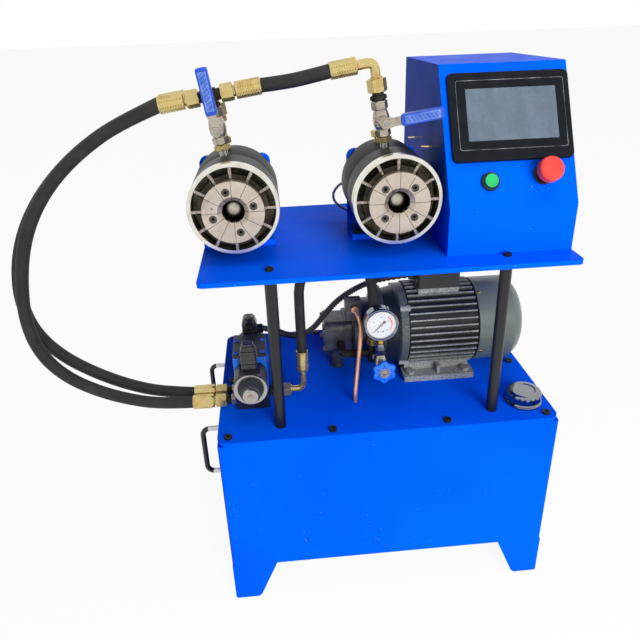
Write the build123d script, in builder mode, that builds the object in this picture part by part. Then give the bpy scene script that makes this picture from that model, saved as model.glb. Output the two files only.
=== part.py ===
"""Two-head hose crimping machine: oil tank, power pack, valves, crimping heads and control cabinet."""
import os
from math import cos, pi, radians, sin, tan

from build123d import *

os.makedirs("parts", exist_ok=True)

# ---------------------------------------------------------------- driving dimensions, millimetres
# Widths are measured from the machine's middle, depths from the tank's front face, heights from the floor.
MID, FRONT = 17.5, -207.0  # where that middle and that front face lie in the model's own frame

TANK_W, TANK_D, TANK_WALL = 620, 414, 3
FOOT_H, FOOT_TOP, FOOT_TOE, FOOT_SHEET = 88, 88, 52, 4
LID_TOP, LID_T, LID_R = 384, 8, 20
SHELF_TOP, SHELF_T, SHELF_D = 687, 8, 410
POST_X, POST_INSET, POST_R = 196, 42, 10
FILLER = (264, 60)
FILLER_R = 25

HEAD_Z = 779
HEAD_X = {"left": -246.0, "right": 18.7}
FIRST_BLADE = {"left": -0.6, "right": 0.1}  # turn of each head's top guide blade, degrees
LEAN = radians(8.2)  # how far the valve columns lean to the left
JAWS = 12
JAW_FRONT, FLANGE_T, NECK_T, JAW_L = 62, 14.5, 16.5, 86
FLANGE_R, CORE_R, NECK_R, BORE_R, MOUTH_R = 49.5, 42, 57, 18, 25
JAW_GAP, NECK_GAP = 0.35, 3.2  # each jaw's sides stand in from its 30 degree sector by this much
BACK_R, BACK_SLOPE, BACK_PLAY = 58.5, 0.25, 0.31  # flat slanted back of a jaw
RING_FRONT, RING_BACK, BARREL_BACK = 78, 92, 236
BARREL_R, GLAND_R, CHAMBER_R, CHAMBER_FRONT, CHAMBER_BACK = 74, 67, 70, 128, 214
BLADE_W, BLADE_IN = 4.6, 49.5
PISTON_FRONT, PISTON_FLOOR, PISTON_STEP, PISTON_BACK = 108, 155, 157, 180
ROD_R, ROD_TIP = 15, 84
BRACKET_W, BRACKET_T, BRACKET_TOP, BRACKET_FRONT = 126, 10, 835, 168
PORT_A, PORT_B = 145, 209  # depths of the two oil ports along a head

STEM_UP, STEM_FRONT = 119, 104  # valve stem: distance up the column, depth of the lever
TEE_UP = 168

MOTOR_Y, MOTOR_Z, MOTOR_R, FIN_R = 246, 474, 79, 87.5
FINS = 40
CAB_X0, CAB_X1, CAB_FRONT, CAB_BACK = 98, 310, 53.7, 411
CAB_FOLD_Z, CAB_TOP_Y, CAB_TOP, CAB_SHEET = 766, 167.5, 974.5, 2
SCREEN_W, SCREEN_H, SCREEN_PROUD = 200, 146, 7
GAUGE = (2.6, 122, 532)
GAUGE_R = 33
WHEEL = (4, 98, 447)
MANIFOLD_X, MANIFOLD_TOP, SOLENOID_Z = -245, 425, 456
HOSE_R, PUMP_HOSE_R = 11, 9.5


def at(x, y, z):
    """A point given from the machine's middle, the tank's front face and the floor."""
    return Vector(MID + x, FRONT + y, z)


def facing_front(x, y, z):
    """A plane seen from the front: its x to the right, its y up, its normal towards the operator."""
    return Plane(at(x, y, z), x_dir=(1, 0, 0), z_dir=(0, -1, 0))


def column(side, up, depth):
    """A plane square to a head's leaning valve column, at a height above the head's axis."""
    lean = Vector(-sin(LEAN), 0, cos(LEAN))
    return Plane(at(HEAD_X[side], depth, HEAD_Z) + lean * up, x_dir=(cos(LEAN), 0, sin(LEAN)), z_dir=lean)


def bend_radii(points):
    """The largest arc that each corner of a route allows."""
    radii = []
    for before, corner, after in zip(points, points[1:], points[2:]):
        turn = radians((corner - before).get_angle(after - corner))
        radii.append(0.45 * min((corner - before).length, (after - corner).length) / tan(turn / 2))
    return radii


def wedge(inner, outer, gap):
    """Corners of one jaw's sector between two radii, flat at both ends."""
    half = pi / JAWS
    low, high = (radius * tan(half) - gap / cos(half) for radius in (inner, outer))
    return [(-low, inner), (low, inner), (high, outer), (-high, outer)]


def back_radius(depth):
    """How far a jaw's slanted back stands from the head's axis at a depth."""
    return BACK_R - BACK_SLOPE * (depth - JAW_FRONT - FLANGE_T - NECK_T)


def save(part, name):
    part.label = name
    export_step(part, f"parts/{name}.step")


# ---------------------------------------------------------------- tank, lid and handles
with BuildPart() as tank_shell:
    with BuildSketch(Plane(at(0, TANK_D / 2, FOOT_H))):
        RectangleRounded(TANK_W, TANK_D, 6)
    extrude(amount=LID_TOP - LID_T - FOOT_H)
    offset(amount=-TANK_WALL, openings=tank_shell.faces().sort_by(Axis.Z)[-1])
    for side in (-1, 1):
        for end in (0, TANK_D):
            inward = Vector(0, 1 if end == 0 else -1, 0)
            across = Vector(-side, 0, 0)
            for run, thick in ((across, inward), (inward, across)):
                normal = run.cross(Vector(0, 0, 1))
                with BuildSketch(Plane(at(side * TANK_W / 2, end, 0), x_dir=run, z_dir=normal)):
                    with BuildLine():
                        Polyline(
                            (0, FOOT_H), (0, 3), (3, 0), (FOOT_TOE - 6, 0), (FOOT_TOE, 5), (FOOT_TOP, FOOT_H),
                            close=True
                        )
                    make_face()
                extrude(amount=FOOT_SHEET * thick.dot(normal))
save(tank_shell.part, "tank_shell")

SUCTION = (-70, MOTOR_Y)
DRAIN = (-51, 101)
with BuildPart() as tank_lid:
    with BuildSketch(Plane(at(0, TANK_D / 2, LID_TOP - LID_T))):
        RectangleRounded(TANK_W, TANK_D, LID_R)
    extrude(amount=LID_T)
    with Locations(at(*FILLER, LID_TOP)):
        Hole(FILLER_R + 0.3)
    with Locations(at(*SUCTION, LID_TOP)):
        Hole(14)
    with Locations(at(*DRAIN, LID_TOP)):
        Hole(4.2)
save(tank_lid.part, "tank_lid")

with BuildPart() as filler_neck:
    with BuildSketch(facing_front(*FILLER, LID_TOP)):
        with BuildLine():
            Polyline(
                (22, -60), (FILLER_R, -60), (FILLER_R, 0), (33, 0), (33, 3), (31, 4.5), (33, 6), (31, 8),
                (26, 8), (26, 15), (22, 15), close=True
            )
        make_face()
    revolve(axis=Axis(at(*FILLER, 0), (0, 0, 1)))
save(filler_neck.part, "filler_neck")

CAP_GRIPS = 20
with BuildPart() as filler_cap:
    with BuildSketch(facing_front(*FILLER, LID_TOP)):
        with BuildLine():
            Polyline((0, 15.5), (26.5, 15.5), (26.5, 9), (32, 9), (32, 20))
            ThreePointArc((32, 20), (29.5, 24.5), (24, 26.5))
            Polyline((24, 26.5), (20, 26.5), (18, 25.2), (0, 25.2), (0, 15.5))
        make_face()
    revolve(axis=Axis(at(*FILLER, 0), (0, 0, 1)))
    with BuildSketch(Plane(at(*FILLER, LID_TOP + 9))):
        with PolarLocations(33, CAP_GRIPS):
            Circle(2.6)
    extrude(amount=13, mode=Mode.SUBTRACT)
save(filler_cap.part, "filler_cap")

HANDLE_Y = (88, TANK_D - 88)
HANDLE_TOP, HANDLE_LOW, HANDLE_OUT, HANDLE_R = 357, 257, 35, 5
with BuildPart() as bow_handles:
    for depth in HANDLE_Y:
        corners = [
            at(-TANK_W / 2, depth, HANDLE_TOP),
            at(-TANK_W / 2 - HANDLE_OUT, depth, HANDLE_TOP),
            at(-TANK_W / 2 - HANDLE_OUT, depth, HANDLE_LOW),
            at(-TANK_W / 2, depth, HANDLE_LOW),
        ]
        with BuildLine():
            FilletPolyline(*corners, radius=14)
        with BuildSketch(Plane(corners[0], z_dir=(-1, 0, 0))):
            Circle(HANDLE_R)
        sweep()
        for height in (HANDLE_TOP, HANDLE_LOW):
            with BuildSketch(Plane(at(-TANK_W / 2, depth, height), z_dir=(-1, 0, 0))):
                Circle(9)
            extrude(amount=3)
save(bow_handles.part, "bow_handles")

# ---------------------------------------------------------------- posts, shelf, brackets and screws
with BuildPart() as support_posts:
    with BuildSketch(Plane(at(0, TANK_D / 2, LID_TOP))):
        with GridLocations(2 * POST_X, TANK_D - 2 * POST_INSET, 2, 2):
            Circle(POST_R)
    extrude(amount=SHELF_TOP - SHELF_T - LID_TOP)
save(support_posts.part, "support_posts")

with BuildPart() as shelf_plate:
    with BuildSketch(Plane(at(0, TANK_D / 2, SHELF_TOP - SHELF_T))):
        RectangleRounded(TANK_W, SHELF_D, 10)
    extrude(amount=SHELF_T)
    with Locations(*[at(x, PORT_B, SHELF_TOP) for x in HEAD_X.values()]):
        Hole(8)
    with Locations(at(204, 300, SHELF_TOP)):
        Hole(20)
save(shelf_plate.part, "shelf_plate")

with BuildPart() as head_brackets:
    for x in HEAD_X.values():
        with BuildSketch(Plane(at(x, (BRACKET_FRONT + BARREL_BACK + BRACKET_T) / 2, SHELF_TOP))):
            Rectangle(BRACKET_W, BARREL_BACK + BRACKET_T - BRACKET_FRONT)
        extrude(amount=BRACKET_T)
        with BuildSketch(facing_front(x, BARREL_BACK, SHELF_TOP)):
            with BuildLine():
                FilletPolyline(
                    (-BRACKET_W / 2, 0), (-BRACKET_W / 2, BRACKET_TOP - SHELF_TOP),
                    (BRACKET_W / 2, BRACKET_TOP - SHELF_TOP), (BRACKET_W / 2, 0), radius=14
                )
                Line((BRACKET_W / 2, 0), (-BRACKET_W / 2, 0))
            make_face()
            with Locations((0, HEAD_Z - SHELF_TOP)):
                Circle(20, mode=Mode.SUBTRACT)
        extrude(amount=-BRACKET_T)
        with Locations(at(x, PORT_B, SHELF_TOP + BRACKET_T)):
            Hole(8)
save(head_brackets.part, "head_brackets")

LID_SCREWS = [at(x, y, LID_TOP) for x in (-290, -103, 106, 290) for y in (16, TANK_D - 16)]
LID_SCREWS += [at(side * 290, TANK_D / 2, LID_TOP) for side in (-1, 1)]
POST_Y = (POST_INSET, TANK_D - POST_INSET)
SHELF_SCREWS = [at(side * POST_X, y, SHELF_TOP) for side in (-1, 1) for y in POST_Y]
BASE_TOP = SHELF_TOP + BRACKET_T
BRACKET_SCREWS = [at(x + side * 50, 180, BASE_TOP) for x in HEAD_X.values() for side in (-1, 1)]
with BuildPart() as socket_screws:
    for spot in LID_SCREWS + SHELF_SCREWS + BRACKET_SCREWS:
        with BuildSketch(Plane(spot)):
            Circle(7)
            RegularPolygon(3.4, 6, mode=Mode.SUBTRACT)
        extrude(amount=5)
        with BuildSketch(Plane(spot)):
            Circle(7)
        extrude(amount=1.5)
save(socket_screws.part, "socket_screws")

# ---------------------------------------------------------------- crimping heads
TUBE_BACK = 146  # where the front sleeve ends and the cylinder behind it begins
ROD_BACK, STOP_NUT = 278, 14
SENSOR = (-24, 772)  # middle of the position sensor behind the right head
SENSOR_W, SENSOR_D, SENSOR_H = 20, 20, 16
with BuildPart() as head_barrels:
    for side, x in HEAD_X.items():
        axle = Axis(at(x, 0, HEAD_Z), (0, 1, 0))
        with BuildSketch(Plane(at(x, 0, HEAD_Z), x_dir=(0, 1, 0), z_dir=(1, 0, 0))):
            with BuildLine():
                Polyline(
                    (RING_BACK, GLAND_R), (RING_BACK, BARREL_R), (TUBE_BACK, BARREL_R),
                    (TUBE_BACK + 1, BARREL_R - 1), (BARREL_BACK - 2, BARREL_R - 1),
                    (BARREL_BACK, BARREL_R - 3), (BARREL_BACK, ROD_R + 0.1), (CHAMBER_BACK, ROD_R + 0.1),
                    (CHAMBER_BACK, CHAMBER_R), (CHAMBER_FRONT, CHAMBER_R), (CHAMBER_FRONT, GLAND_R),
                    close=True
                )
            make_face()
        revolve(axis=axle)
        for depth in (PORT_A, PORT_B):
            with BuildSketch(column(side, 0, depth)):
                Circle(4.5)
            extrude(amount=BARREL_R + 4, mode=Mode.SUBTRACT)
        with BuildSketch(Plane(at(x, PORT_B, HEAD_Z), z_dir=(0, 0, -1))):
            Circle(4.5)
        extrude(amount=BARREL_R + 4, mode=Mode.SUBTRACT)
    # depth stop: a domed rod down the middle of each head, locked behind the bracket by a nut
    for x in HEAD_X.values():
        with BuildSketch(Plane(at(x, 0, HEAD_Z), x_dir=(0, 1, 0), z_dir=(1, 0, 0))):
            with BuildLine():
                ThreePointArc((ROD_TIP, 0), (ROD_TIP + 3, 9), (ROD_TIP + 8, ROD_R - 1))
                Polyline(
                    (ROD_TIP + 8, ROD_R - 1), (ROD_TIP + 10, ROD_R), (ROD_BACK - 2, ROD_R),
                    (ROD_BACK, ROD_R - 2), (ROD_BACK, 0), (ROD_TIP, 0)
                )
            make_face()
        revolve(axis=Axis(at(x, 0, HEAD_Z), (0, 1, 0)))
        with BuildSketch(facing_front(x, BARREL_BACK + BRACKET_T, HEAD_Z)):
            RegularPolygon(23, 6, major_radius=False)
            Circle(ROD_R, mode=Mode.SUBTRACT)
        extrude(amount=-STOP_NUT)
    # position sensor on the back of the right bracket
    with BuildSketch(facing_front(SENSOR[0], BARREL_BACK + BRACKET_T, SENSOR[1])):
        RectangleRounded(SENSOR_W, SENSOR_H, 3)
    extrude(amount=-SENSOR_D)
save(head_barrels.part, "head_barrels")

with BuildPart() as front_rings:
    for side, x in HEAD_X.items():
        with BuildSketch(Plane(at(x, 0, HEAD_Z), x_dir=(0, 1, 0), z_dir=(1, 0, 0))):
            with BuildLine():
                Polyline(
                    (RING_FRONT, GLAND_R + 0.8), (RING_FRONT, BARREL_R - 1), (RING_FRONT + 1, BARREL_R),
                    (RING_BACK, BARREL_R), (RING_BACK, GLAND_R), (RING_FRONT + 0.8, GLAND_R), close=True
                )
            make_face()
        revolve(axis=Axis(at(x, 0, HEAD_Z), (0, 1, 0)))
        for blade in range(JAWS):
            turn = radians(FIRST_BLADE[side] + blade * 360 / JAWS)
            along = Vector(sin(turn), 0, cos(turn))
            square_to = Plane(at(x, RING_FRONT + 1, HEAD_Z), x_dir=along, z_dir=(0, 1, 0))
            with BuildSketch(square_to):
                with Locations(((BLADE_IN + GLAND_R + 0.5) / 2, 0)):
                    Rectangle(GLAND_R + 0.5 - BLADE_IN, BLADE_W)
            extrude(amount=RING_BACK - RING_FRONT - 1.2)
save(front_rings.part, "front_rings")

SCREWED_JAWS = {"left": (3, 6, 9, 12), "right": (2, 5, 8, 11)}
SCREW_OUT, POCKET_R, POCKET_T, HEAD_R, HEAD_DOWN = 33.5, 6.4, 3.4, 5.2, 0.5
DOWEL_JAW, DOWEL_R = ("left", 10), 1.6
for side, x in HEAD_X.items():
    for number in range(1, JAWS + 1):
        turn = radians(FIRST_BLADE[side] + (number - 0.5) * 360 / JAWS)
        outward = Vector(sin(turn), 0, cos(turn))
        face = Plane(at(x, JAW_FRONT, HEAD_Z), x_dir=outward.cross(Vector(0, 1, 0)), z_dir=(0, 1, 0))
        with BuildPart() as jaw:
            with BuildSketch(face):
                Polygon(*wedge(10, FLANGE_R + 2, JAW_GAP), align=None)
                Circle(FLANGE_R, mode=Mode.INTERSECT)
            extrude(amount=FLANGE_T)
            with BuildSketch(face.offset(FLANGE_T)):
                Polygon(*wedge(10, CORE_R, JAW_GAP), align=None)
                Polygon(*wedge(CORE_R - 1, NECK_R, NECK_GAP), align=None)
            extrude(amount=NECK_T)
            for depth in (FLANGE_T + NECK_T, JAW_L):
                with BuildSketch(face.offset(depth)):
                    Polygon(*wedge(10, back_radius(JAW_FRONT + depth), JAW_GAP), align=None)
            loft()
            with BuildSketch(face):
                Circle(BORE_R)
            extrude(amount=JAW_L, mode=Mode.SUBTRACT)
            with BuildSketch(face):
                Circle(MOUTH_R)
            with BuildSketch(face.offset(MOUTH_R - BORE_R)):
                Circle(BORE_R)
            loft(mode=Mode.SUBTRACT)
            with BuildSketch(face.offset(MOUTH_R - BORE_R)):
                with PolarLocations(BORE_R, 2, start_angle=86, angular_range=8, endpoint=True, rotate=False):
                    Circle(1.3)
            extrude(amount=JAW_L, mode=Mode.SUBTRACT)
            if number in SCREWED_JAWS[side]:
                # a socket screw, sunk in its counterbore
                with BuildSketch(face):
                    with Locations((0, SCREW_OUT)):
                        Circle(POCKET_R)
                        Circle(HEAD_R, mode=Mode.SUBTRACT)
                extrude(amount=POCKET_T, mode=Mode.SUBTRACT)
                with BuildSketch(face):
                    with Locations((0, SCREW_OUT)):
                        Circle(HEAD_R + 0.1)
                extrude(amount=HEAD_DOWN, mode=Mode.SUBTRACT)
                with BuildSketch(face.offset(HEAD_DOWN)):
                    with Locations((0, SCREW_OUT)):
                        RegularPolygon(2.5, 6, major_radius=False, rotation=30)
                extrude(amount=POCKET_T - HEAD_DOWN, mode=Mode.SUBTRACT)
            if (side, number) == DOWEL_JAW:
                with BuildSketch(face):
                    with Locations((0, SCREW_OUT)):
                        Circle(DOWEL_R)
                extrude(amount=4, mode=Mode.SUBTRACT)
        save(jaw.part, f"{side}_jaw_{number:02d}")

for side, x in HEAD_X.items():
    facets = facing_front(x, 0, HEAD_Z)
    turn = 90 - FIRST_BLADE[side]
    with BuildPart() as piston:
        with BuildSketch(Plane(at(x, 0, HEAD_Z), x_dir=(0, 1, 0), z_dir=(1, 0, 0))):
            with BuildLine():
                Polyline(
                    (PISTON_FRONT, 0), (PISTON_FRONT, GLAND_R - 0.3), (PISTON_STEP, GLAND_R - 0.3),
                    (PISTON_STEP, CHAMBER_R - 0.3), (PISTON_BACK, CHAMBER_R - 0.3), (PISTON_BACK, 0),
                    close=True
                )
            make_face()
        revolve(axis=Axis(at(x, 0, HEAD_Z), (0, 1, 0)))
        for depth in (PISTON_FRONT, PISTON_FLOOR):
            with BuildSketch(facets.offset(-depth)):
                RegularPolygon(back_radius(depth) + BACK_PLAY, JAWS, major_radius=False, rotation=turn)
        loft(mode=Mode.SUBTRACT)
        with BuildSketch(facets.offset(-PISTON_FLOOR)):
            Circle(ROD_R + 0.3)
        extrude(amount=PISTON_FLOOR - PISTON_BACK, mode=Mode.SUBTRACT)
    save(piston.part, f"{side}_piston")

# ---------------------------------------------------------------- ball valves and their levers
VALVE_LOW, BODY_LOW, BODY_HIGH, VALVE_HIGH = 92, 104, 134, 150
with BuildPart() as ball_valves:
    for side in HEAD_X:
        for low, high in ((VALVE_LOW, BODY_LOW), (BODY_HIGH, VALVE_HIGH)):
            with BuildSketch(column(side, low, PORT_A)):
                RegularPolygon(15.5, 6, major_radius=False)
            extrude(amount=high - low)
        with BuildSketch(column(side, BODY_LOW, PORT_A)):
            RegularPolygon(17.5, 8, major_radius=False, rotation=22.5)
        extrude(amount=BODY_HIGH - BODY_LOW)
        for groove in (BODY_LOW, BODY_HIGH):
            with BuildSketch(column(side, groove - 1.5, PORT_A)):
                Circle(22)
                Circle(14, mode=Mode.SUBTRACT)
            extrude(amount=3, mode=Mode.SUBTRACT)
        stem = column(side, STEM_UP, PORT_A)
        with BuildSketch(Plane(stem.origin, x_dir=stem.x_dir, z_dir=(0, -1, 0))):
            Circle(9)
        extrude(amount=28)
        with BuildSketch(Plane(stem.origin, x_dir=stem.x_dir, z_dir=(0, -1, 0))):
            Circle(4.15)
        extrude(amount=30, mode=Mode.SUBTRACT)
        with BuildSketch(column(side, VALVE_LOW, PORT_A)):
            Circle(6.5)
        extrude(amount=VALVE_HIGH - VALVE_LOW, mode=Mode.SUBTRACT)
        with Locations(stem):
            Sphere(11, mode=Mode.SUBTRACT)
save(ball_valves.part, "ball_valves")

LEVER_GRIP, LEVER_END, GRIP_W = 24, 93, 18
for side in HEAD_X:
    stem = column(side, STEM_UP, PORT_A)
    along = stem.z_dir if side == "left" else stem.x_dir
    hub = stem.origin + Vector(0, STEM_FRONT - PORT_A, 0)
    face = Plane(hub, x_dir=along.cross(Vector(0, -1, 0)), z_dir=(0, -1, 0))
    with BuildPart() as lever:
        with BuildSketch(face.offset(-2.5)):
            with Locations((0, (LEVER_GRIP + LEVER_END) / 2)):
                RectangleRounded(GRIP_W, LEVER_END - LEVER_GRIP, 5)
        extrude(amount=8)
        fillet(lever.faces().sort_by(Axis.Y)[0].edges(), 2)
        with BuildSketch(face):
            Circle(9)
            with Locations((0, 22)):
                Rectangle(13, 44)
        extrude(amount=3)
        with BuildSketch(face.offset(3)):
            RegularPolygon(6.5, 6, major_radius=False)
        extrude(amount=4)
        with BuildSketch(face):
            Circle(4.1)
        extrude(amount=STEM_FRONT - PORT_A + 8)
        with Locations(stem):
            Sphere(10.6)
        with BuildSketch(Plane(stem.origin - along * 12, z_dir=along)):
            Circle(6.3)
        extrude(amount=24, mode=Mode.SUBTRACT)
    save(lever.part, f"{side}_valve_lever")

# ---------------------------------------------------------------- hydraulic adapters and pipes
PORT_X0, PORT_X1, PORT_Z = MANIFOLD_X - 31, MANIFOLD_X + 31, 400
HOSE_PORTS = (117, 151)  # depths of the two long hoses' ports on the manifold
PUMP_PORT = 137
BLOCK, BLOCK_TOP, BLOCK_W = (-6, 163), 474, 21  # outlet block behind the pressure gauge
TEE_REACH = 16.5
LINK_Z = 655


def bar(start, direction, length, radius, corners=0):
    """A round bar, or a nut of so many corners, added to the part being built."""
    with BuildSketch(Plane(start, z_dir=direction)) as section:
        if corners:
            RegularPolygon(radius, corners, major_radius=False)
        else:
            Circle(radius)
    extrude(section.sketch, amount=length)


with BuildPart() as hydraulic_adapters:
    for side in HEAD_X:
        lower = column(side, 0, PORT_A)
        bar(lower.origin + lower.z_dir * 73.2, lower.z_dir, 10.8, 7)
        bar(lower.origin + lower.z_dir * 83, lower.z_dir, VALVE_LOW - 83, 12, 6)
        rear = column(side, 0, PORT_B)
        bar(rear.origin + rear.z_dir * 72.2, rear.z_dir, 11.8, 7)
        bar(rear.origin + rear.z_dir * 82, rear.z_dir, 11, 10, 6)
    rear = column("left", 0, PORT_B)
    bar(rear.origin + rear.z_dir * 93, rear.z_dir, 27, 8)
    bar(rear.origin + rear.z_dir * 118, rear.z_dir, 10, 11, 6)
    tee = column("left", TEE_UP, PORT_A)
    bar(tee.origin - tee.z_dir * (TEE_UP - VALVE_HIGH), tee.z_dir, TEE_UP - VALVE_HIGH, 9)
    bar(tee.origin - tee.x_dir * TEE_REACH, tee.x_dir, 2 * TEE_REACH, 9)
    bar(tee.origin - tee.z_dir * 11, tee.z_dir, 22, 11, 4)
    top = column("right", VALVE_HIGH, PORT_A)
    bar(top.origin, top.z_dir, 7, 12, 6)
    bar(top.origin + top.z_dir * 6, top.z_dir, 6, 9)
    for depth in HOSE_PORTS:
        bar(at(PORT_X0, depth, PORT_Z), (-1, 0, 0), 11, 10, 6)
        bar(at(PORT_X0 - 11, depth, PORT_Z), (-1, 0, 0), 8, 8)
    bar(at(PORT_X1, PUMP_PORT, PORT_Z + 1), (1, 0, 0), 11, 10, 6)
    bar(at(PORT_X1 + 11, PUMP_PORT, PORT_Z + 1), (1, 0, 0), 13, 8)
    # the return pipe that joins both heads' rear chambers below the shelf
    link_route = [
        at(HEAD_X["left"], PORT_B, HEAD_Z - BARREL_R + 1),
        at(HEAD_X["left"], PORT_B, LINK_Z),
        at(HEAD_X["right"], PORT_B, LINK_Z),
        at(HEAD_X["right"], PORT_B, HEAD_Z - BARREL_R + 1),
    ]
    with BuildLine():
        FilletPolyline(*link_route, radius=20)
    with BuildSketch(Plane(link_route[0], z_dir=(0, 0, -1))):
        Circle(5)
    sweep()
save(hydraulic_adapters.part, "hydraulic_adapters")

NUT_R, NUT_L, FERRULE_R, FERRULE_L = 13.5, 22, 14.3, 43
TUBE_R = 6.5


def fitting(start, direction, nut=NUT_L, across=NUT_R, ferrule=FERRULE_L):
    """A swivel nut and the crimped ferrule behind it, added to the part being built."""
    bar(start, direction, nut, across, 6)
    bar(start + direction * nut, direction, ferrule, FERRULE_R)
    return start + direction * (nut + ferrule)


def bent_tube(points, radius):
    """A bent metal tube between a ferrule and its nut, added to the part being built."""
    with BuildLine() as bend:
        FilletPolyline(*points, radius=radius)
    with BuildSketch(Plane(points[0], z_dir=points[1] - points[0])) as section:
        Circle(TUBE_R)
    sweep(section.sketch, path=bend.wires()[0])


LEFTWARD, RIGHTWARD = Vector(-1, 0, 0), Vector(1, 0, 0)
with BuildPart() as hose_fittings:
    front_low, rear_low = (
        fitting(at(PORT_X0 - 19, depth, PORT_Z), LEFTWARD, 22, 12.2, 42) for depth in HOSE_PORTS
    )
    tee = column("left", TEE_UP, PORT_A)
    front_high = fitting(tee.origin - tee.x_dir * TEE_REACH, tee.x_dir * -1)
    link_left = fitting(tee.origin + tee.x_dir * TEE_REACH, tee.x_dir)

    elbow = column("right", VALVE_HIGH + 12, PORT_A)
    bar(elbow.origin, elbow.z_dir, 21, NUT_R, 6)
    elbow_top = elbow.origin + elbow.z_dir * 21
    elbow_corner = elbow.origin + elbow.z_dir * 45
    link_right_out = elbow_corner + (link_left - elbow_corner).normalized() * 28
    link_right = link_right_out + (link_left - elbow_corner).normalized() * FERRULE_L
    bar(link_right, (link_right_out - link_right).normalized(), FERRULE_L, FERRULE_R)
    bent_tube([link_right_out, elbow_corner, elbow_top], 18)

    rear_nut = column("left", 128, PORT_B)
    bar(rear_nut.origin, rear_nut.z_dir, 21, NUT_R, 6)
    rear_corner = rear_nut.origin + rear_nut.z_dir * 38
    rear_out = rear_corner + Vector(-cos(LEAN), 0, -sin(LEAN)) * 46
    rear_high = rear_out + Vector(-cos(LEAN), 0, -sin(LEAN)) * FERRULE_L
    bar(rear_out, Vector(-cos(LEAN), 0, -sin(LEAN)), FERRULE_L, FERRULE_R)
    bent_tube([rear_out, rear_corner, rear_nut.origin + rear_nut.z_dir * 21], 16)

    pump_nut = at(PORT_X1 + 24, PUMP_PORT, PORT_Z + 1)
    bar(pump_nut, RIGHTWARD, 18, 12.2, 6)
    pump_out = at(-147, 139, 441)
    bent_tube([pump_nut + RIGHTWARD * 18, at(-147, PUMP_PORT, PORT_Z + 1), pump_out], 24)
    pump_up = (pump_out - at(-147, PUMP_PORT, PORT_Z + 1)).normalized()
    pump_low = pump_out + pump_up * 40
    bar(pump_out, pump_up, 40, 12)
    block_top = at(*BLOCK, BLOCK_TOP)
    bar(block_top, (0, 0, 1), 14, 12, 6)
    bar(block_top + Vector(0, 0, 14), (0, 0, 1), 40, 12)
    pump_high = block_top + Vector(0, 0, 54)
save(hose_fittings.part, "hose_fittings")

# ---------------------------------------------------------------- hoses: straight runs joined by arcs
FRONT_ROUTE = [
    front_low, at(-413, 118, 401), at(-468, 121, 411), at(-530, 124, 434), at(-587, 128, 470),
    at(-622, 131, 520), at(-633, 134, 582), at(-625, 136, 650), at(-607, 138, 717), at(-578, 140, 775),
    at(-535, 142, 828), at(-480, 144, 873), at(-415, 145, 911), front_high,
]
REAR_ROUTE = [
    rear_low, at(-415, 152, 406), at(-470, 153, 422), at(-533, 156, 452), at(-594, 160, 494),
    at(-634, 164, 546), at(-648, 169, 608), at(-640, 175, 672), at(-618, 182, 731), at(-584, 190, 784),
    at(-540, 197, 830), at(-488, 204, 870), at(-428, 208, 903), rear_high,
]
LINK_ROUTE = [
    link_left,
    link_left + (link_right - link_left) * 0.34 - Vector(0, 0, 2.5),
    link_left + (link_right - link_left) * 0.67 - Vector(0, 0, 2.2),
    link_right,
]
PUMP_ROUTE = [
    pump_low, at(-147, 150, 524), at(-147, 158, 566), at(-146, 164, 609), at(-127, 171, 641),
    at(-95, 178, 660), at(-57, 180, 660), at(-27, 180, 641), at(-10, 175, 609), at(-6, 167, 568), pump_high,
]
HOSES = {
    "long_hose_front": (FRONT_ROUTE, HOSE_R),
    "long_hose_rear": (REAR_ROUTE, HOSE_R),
    "link_hose": (LINK_ROUTE, HOSE_R),
    "pump_hose": (PUMP_ROUTE, PUMP_HOSE_R),
}
for name, (route, radius) in HOSES.items():
    with BuildPart() as hose:
        with BuildLine() as path:
            FilletPolyline(*route, radius=bend_radii(route))
        with BuildSketch(Plane(route[0], z_dir=route[1] - route[0])):
            Circle(radius)
        sweep()
    length = path.wires()[0].length
    section = pi * radius**2
    print(name, "length", round(length), "volume ratio", round(hose.part.volume / section / length, 4),
          "radii", [round(bend) for bend in bend_radii(route)])
    save(hose.part, name)

# ---------------------------------------------------------------- manifold and solenoid valve
MANIFOLD_Y0, MANIFOLD_Y1 = 103, 240
BODY_Y0, BODY_Y1, BODY_TOP, BODY_W = 100, 184, 503, 62
COIL_R, COIL_L, PLUG_Y = 30, 45, 201
with BuildPart() as manifold_block:
    with BuildSketch(Plane(at(MANIFOLD_X, (MANIFOLD_Y0 + MANIFOLD_Y1) / 2, LID_TOP))):
        Rectangle(BODY_W, MANIFOLD_Y1 - MANIFOLD_Y0)
    extrude(amount=MANIFOLD_TOP - LID_TOP)
    chamfer(manifold_block.edges().filter_by(Axis.Z), 1.5)
save(manifold_block.part, "manifold_block")

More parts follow.
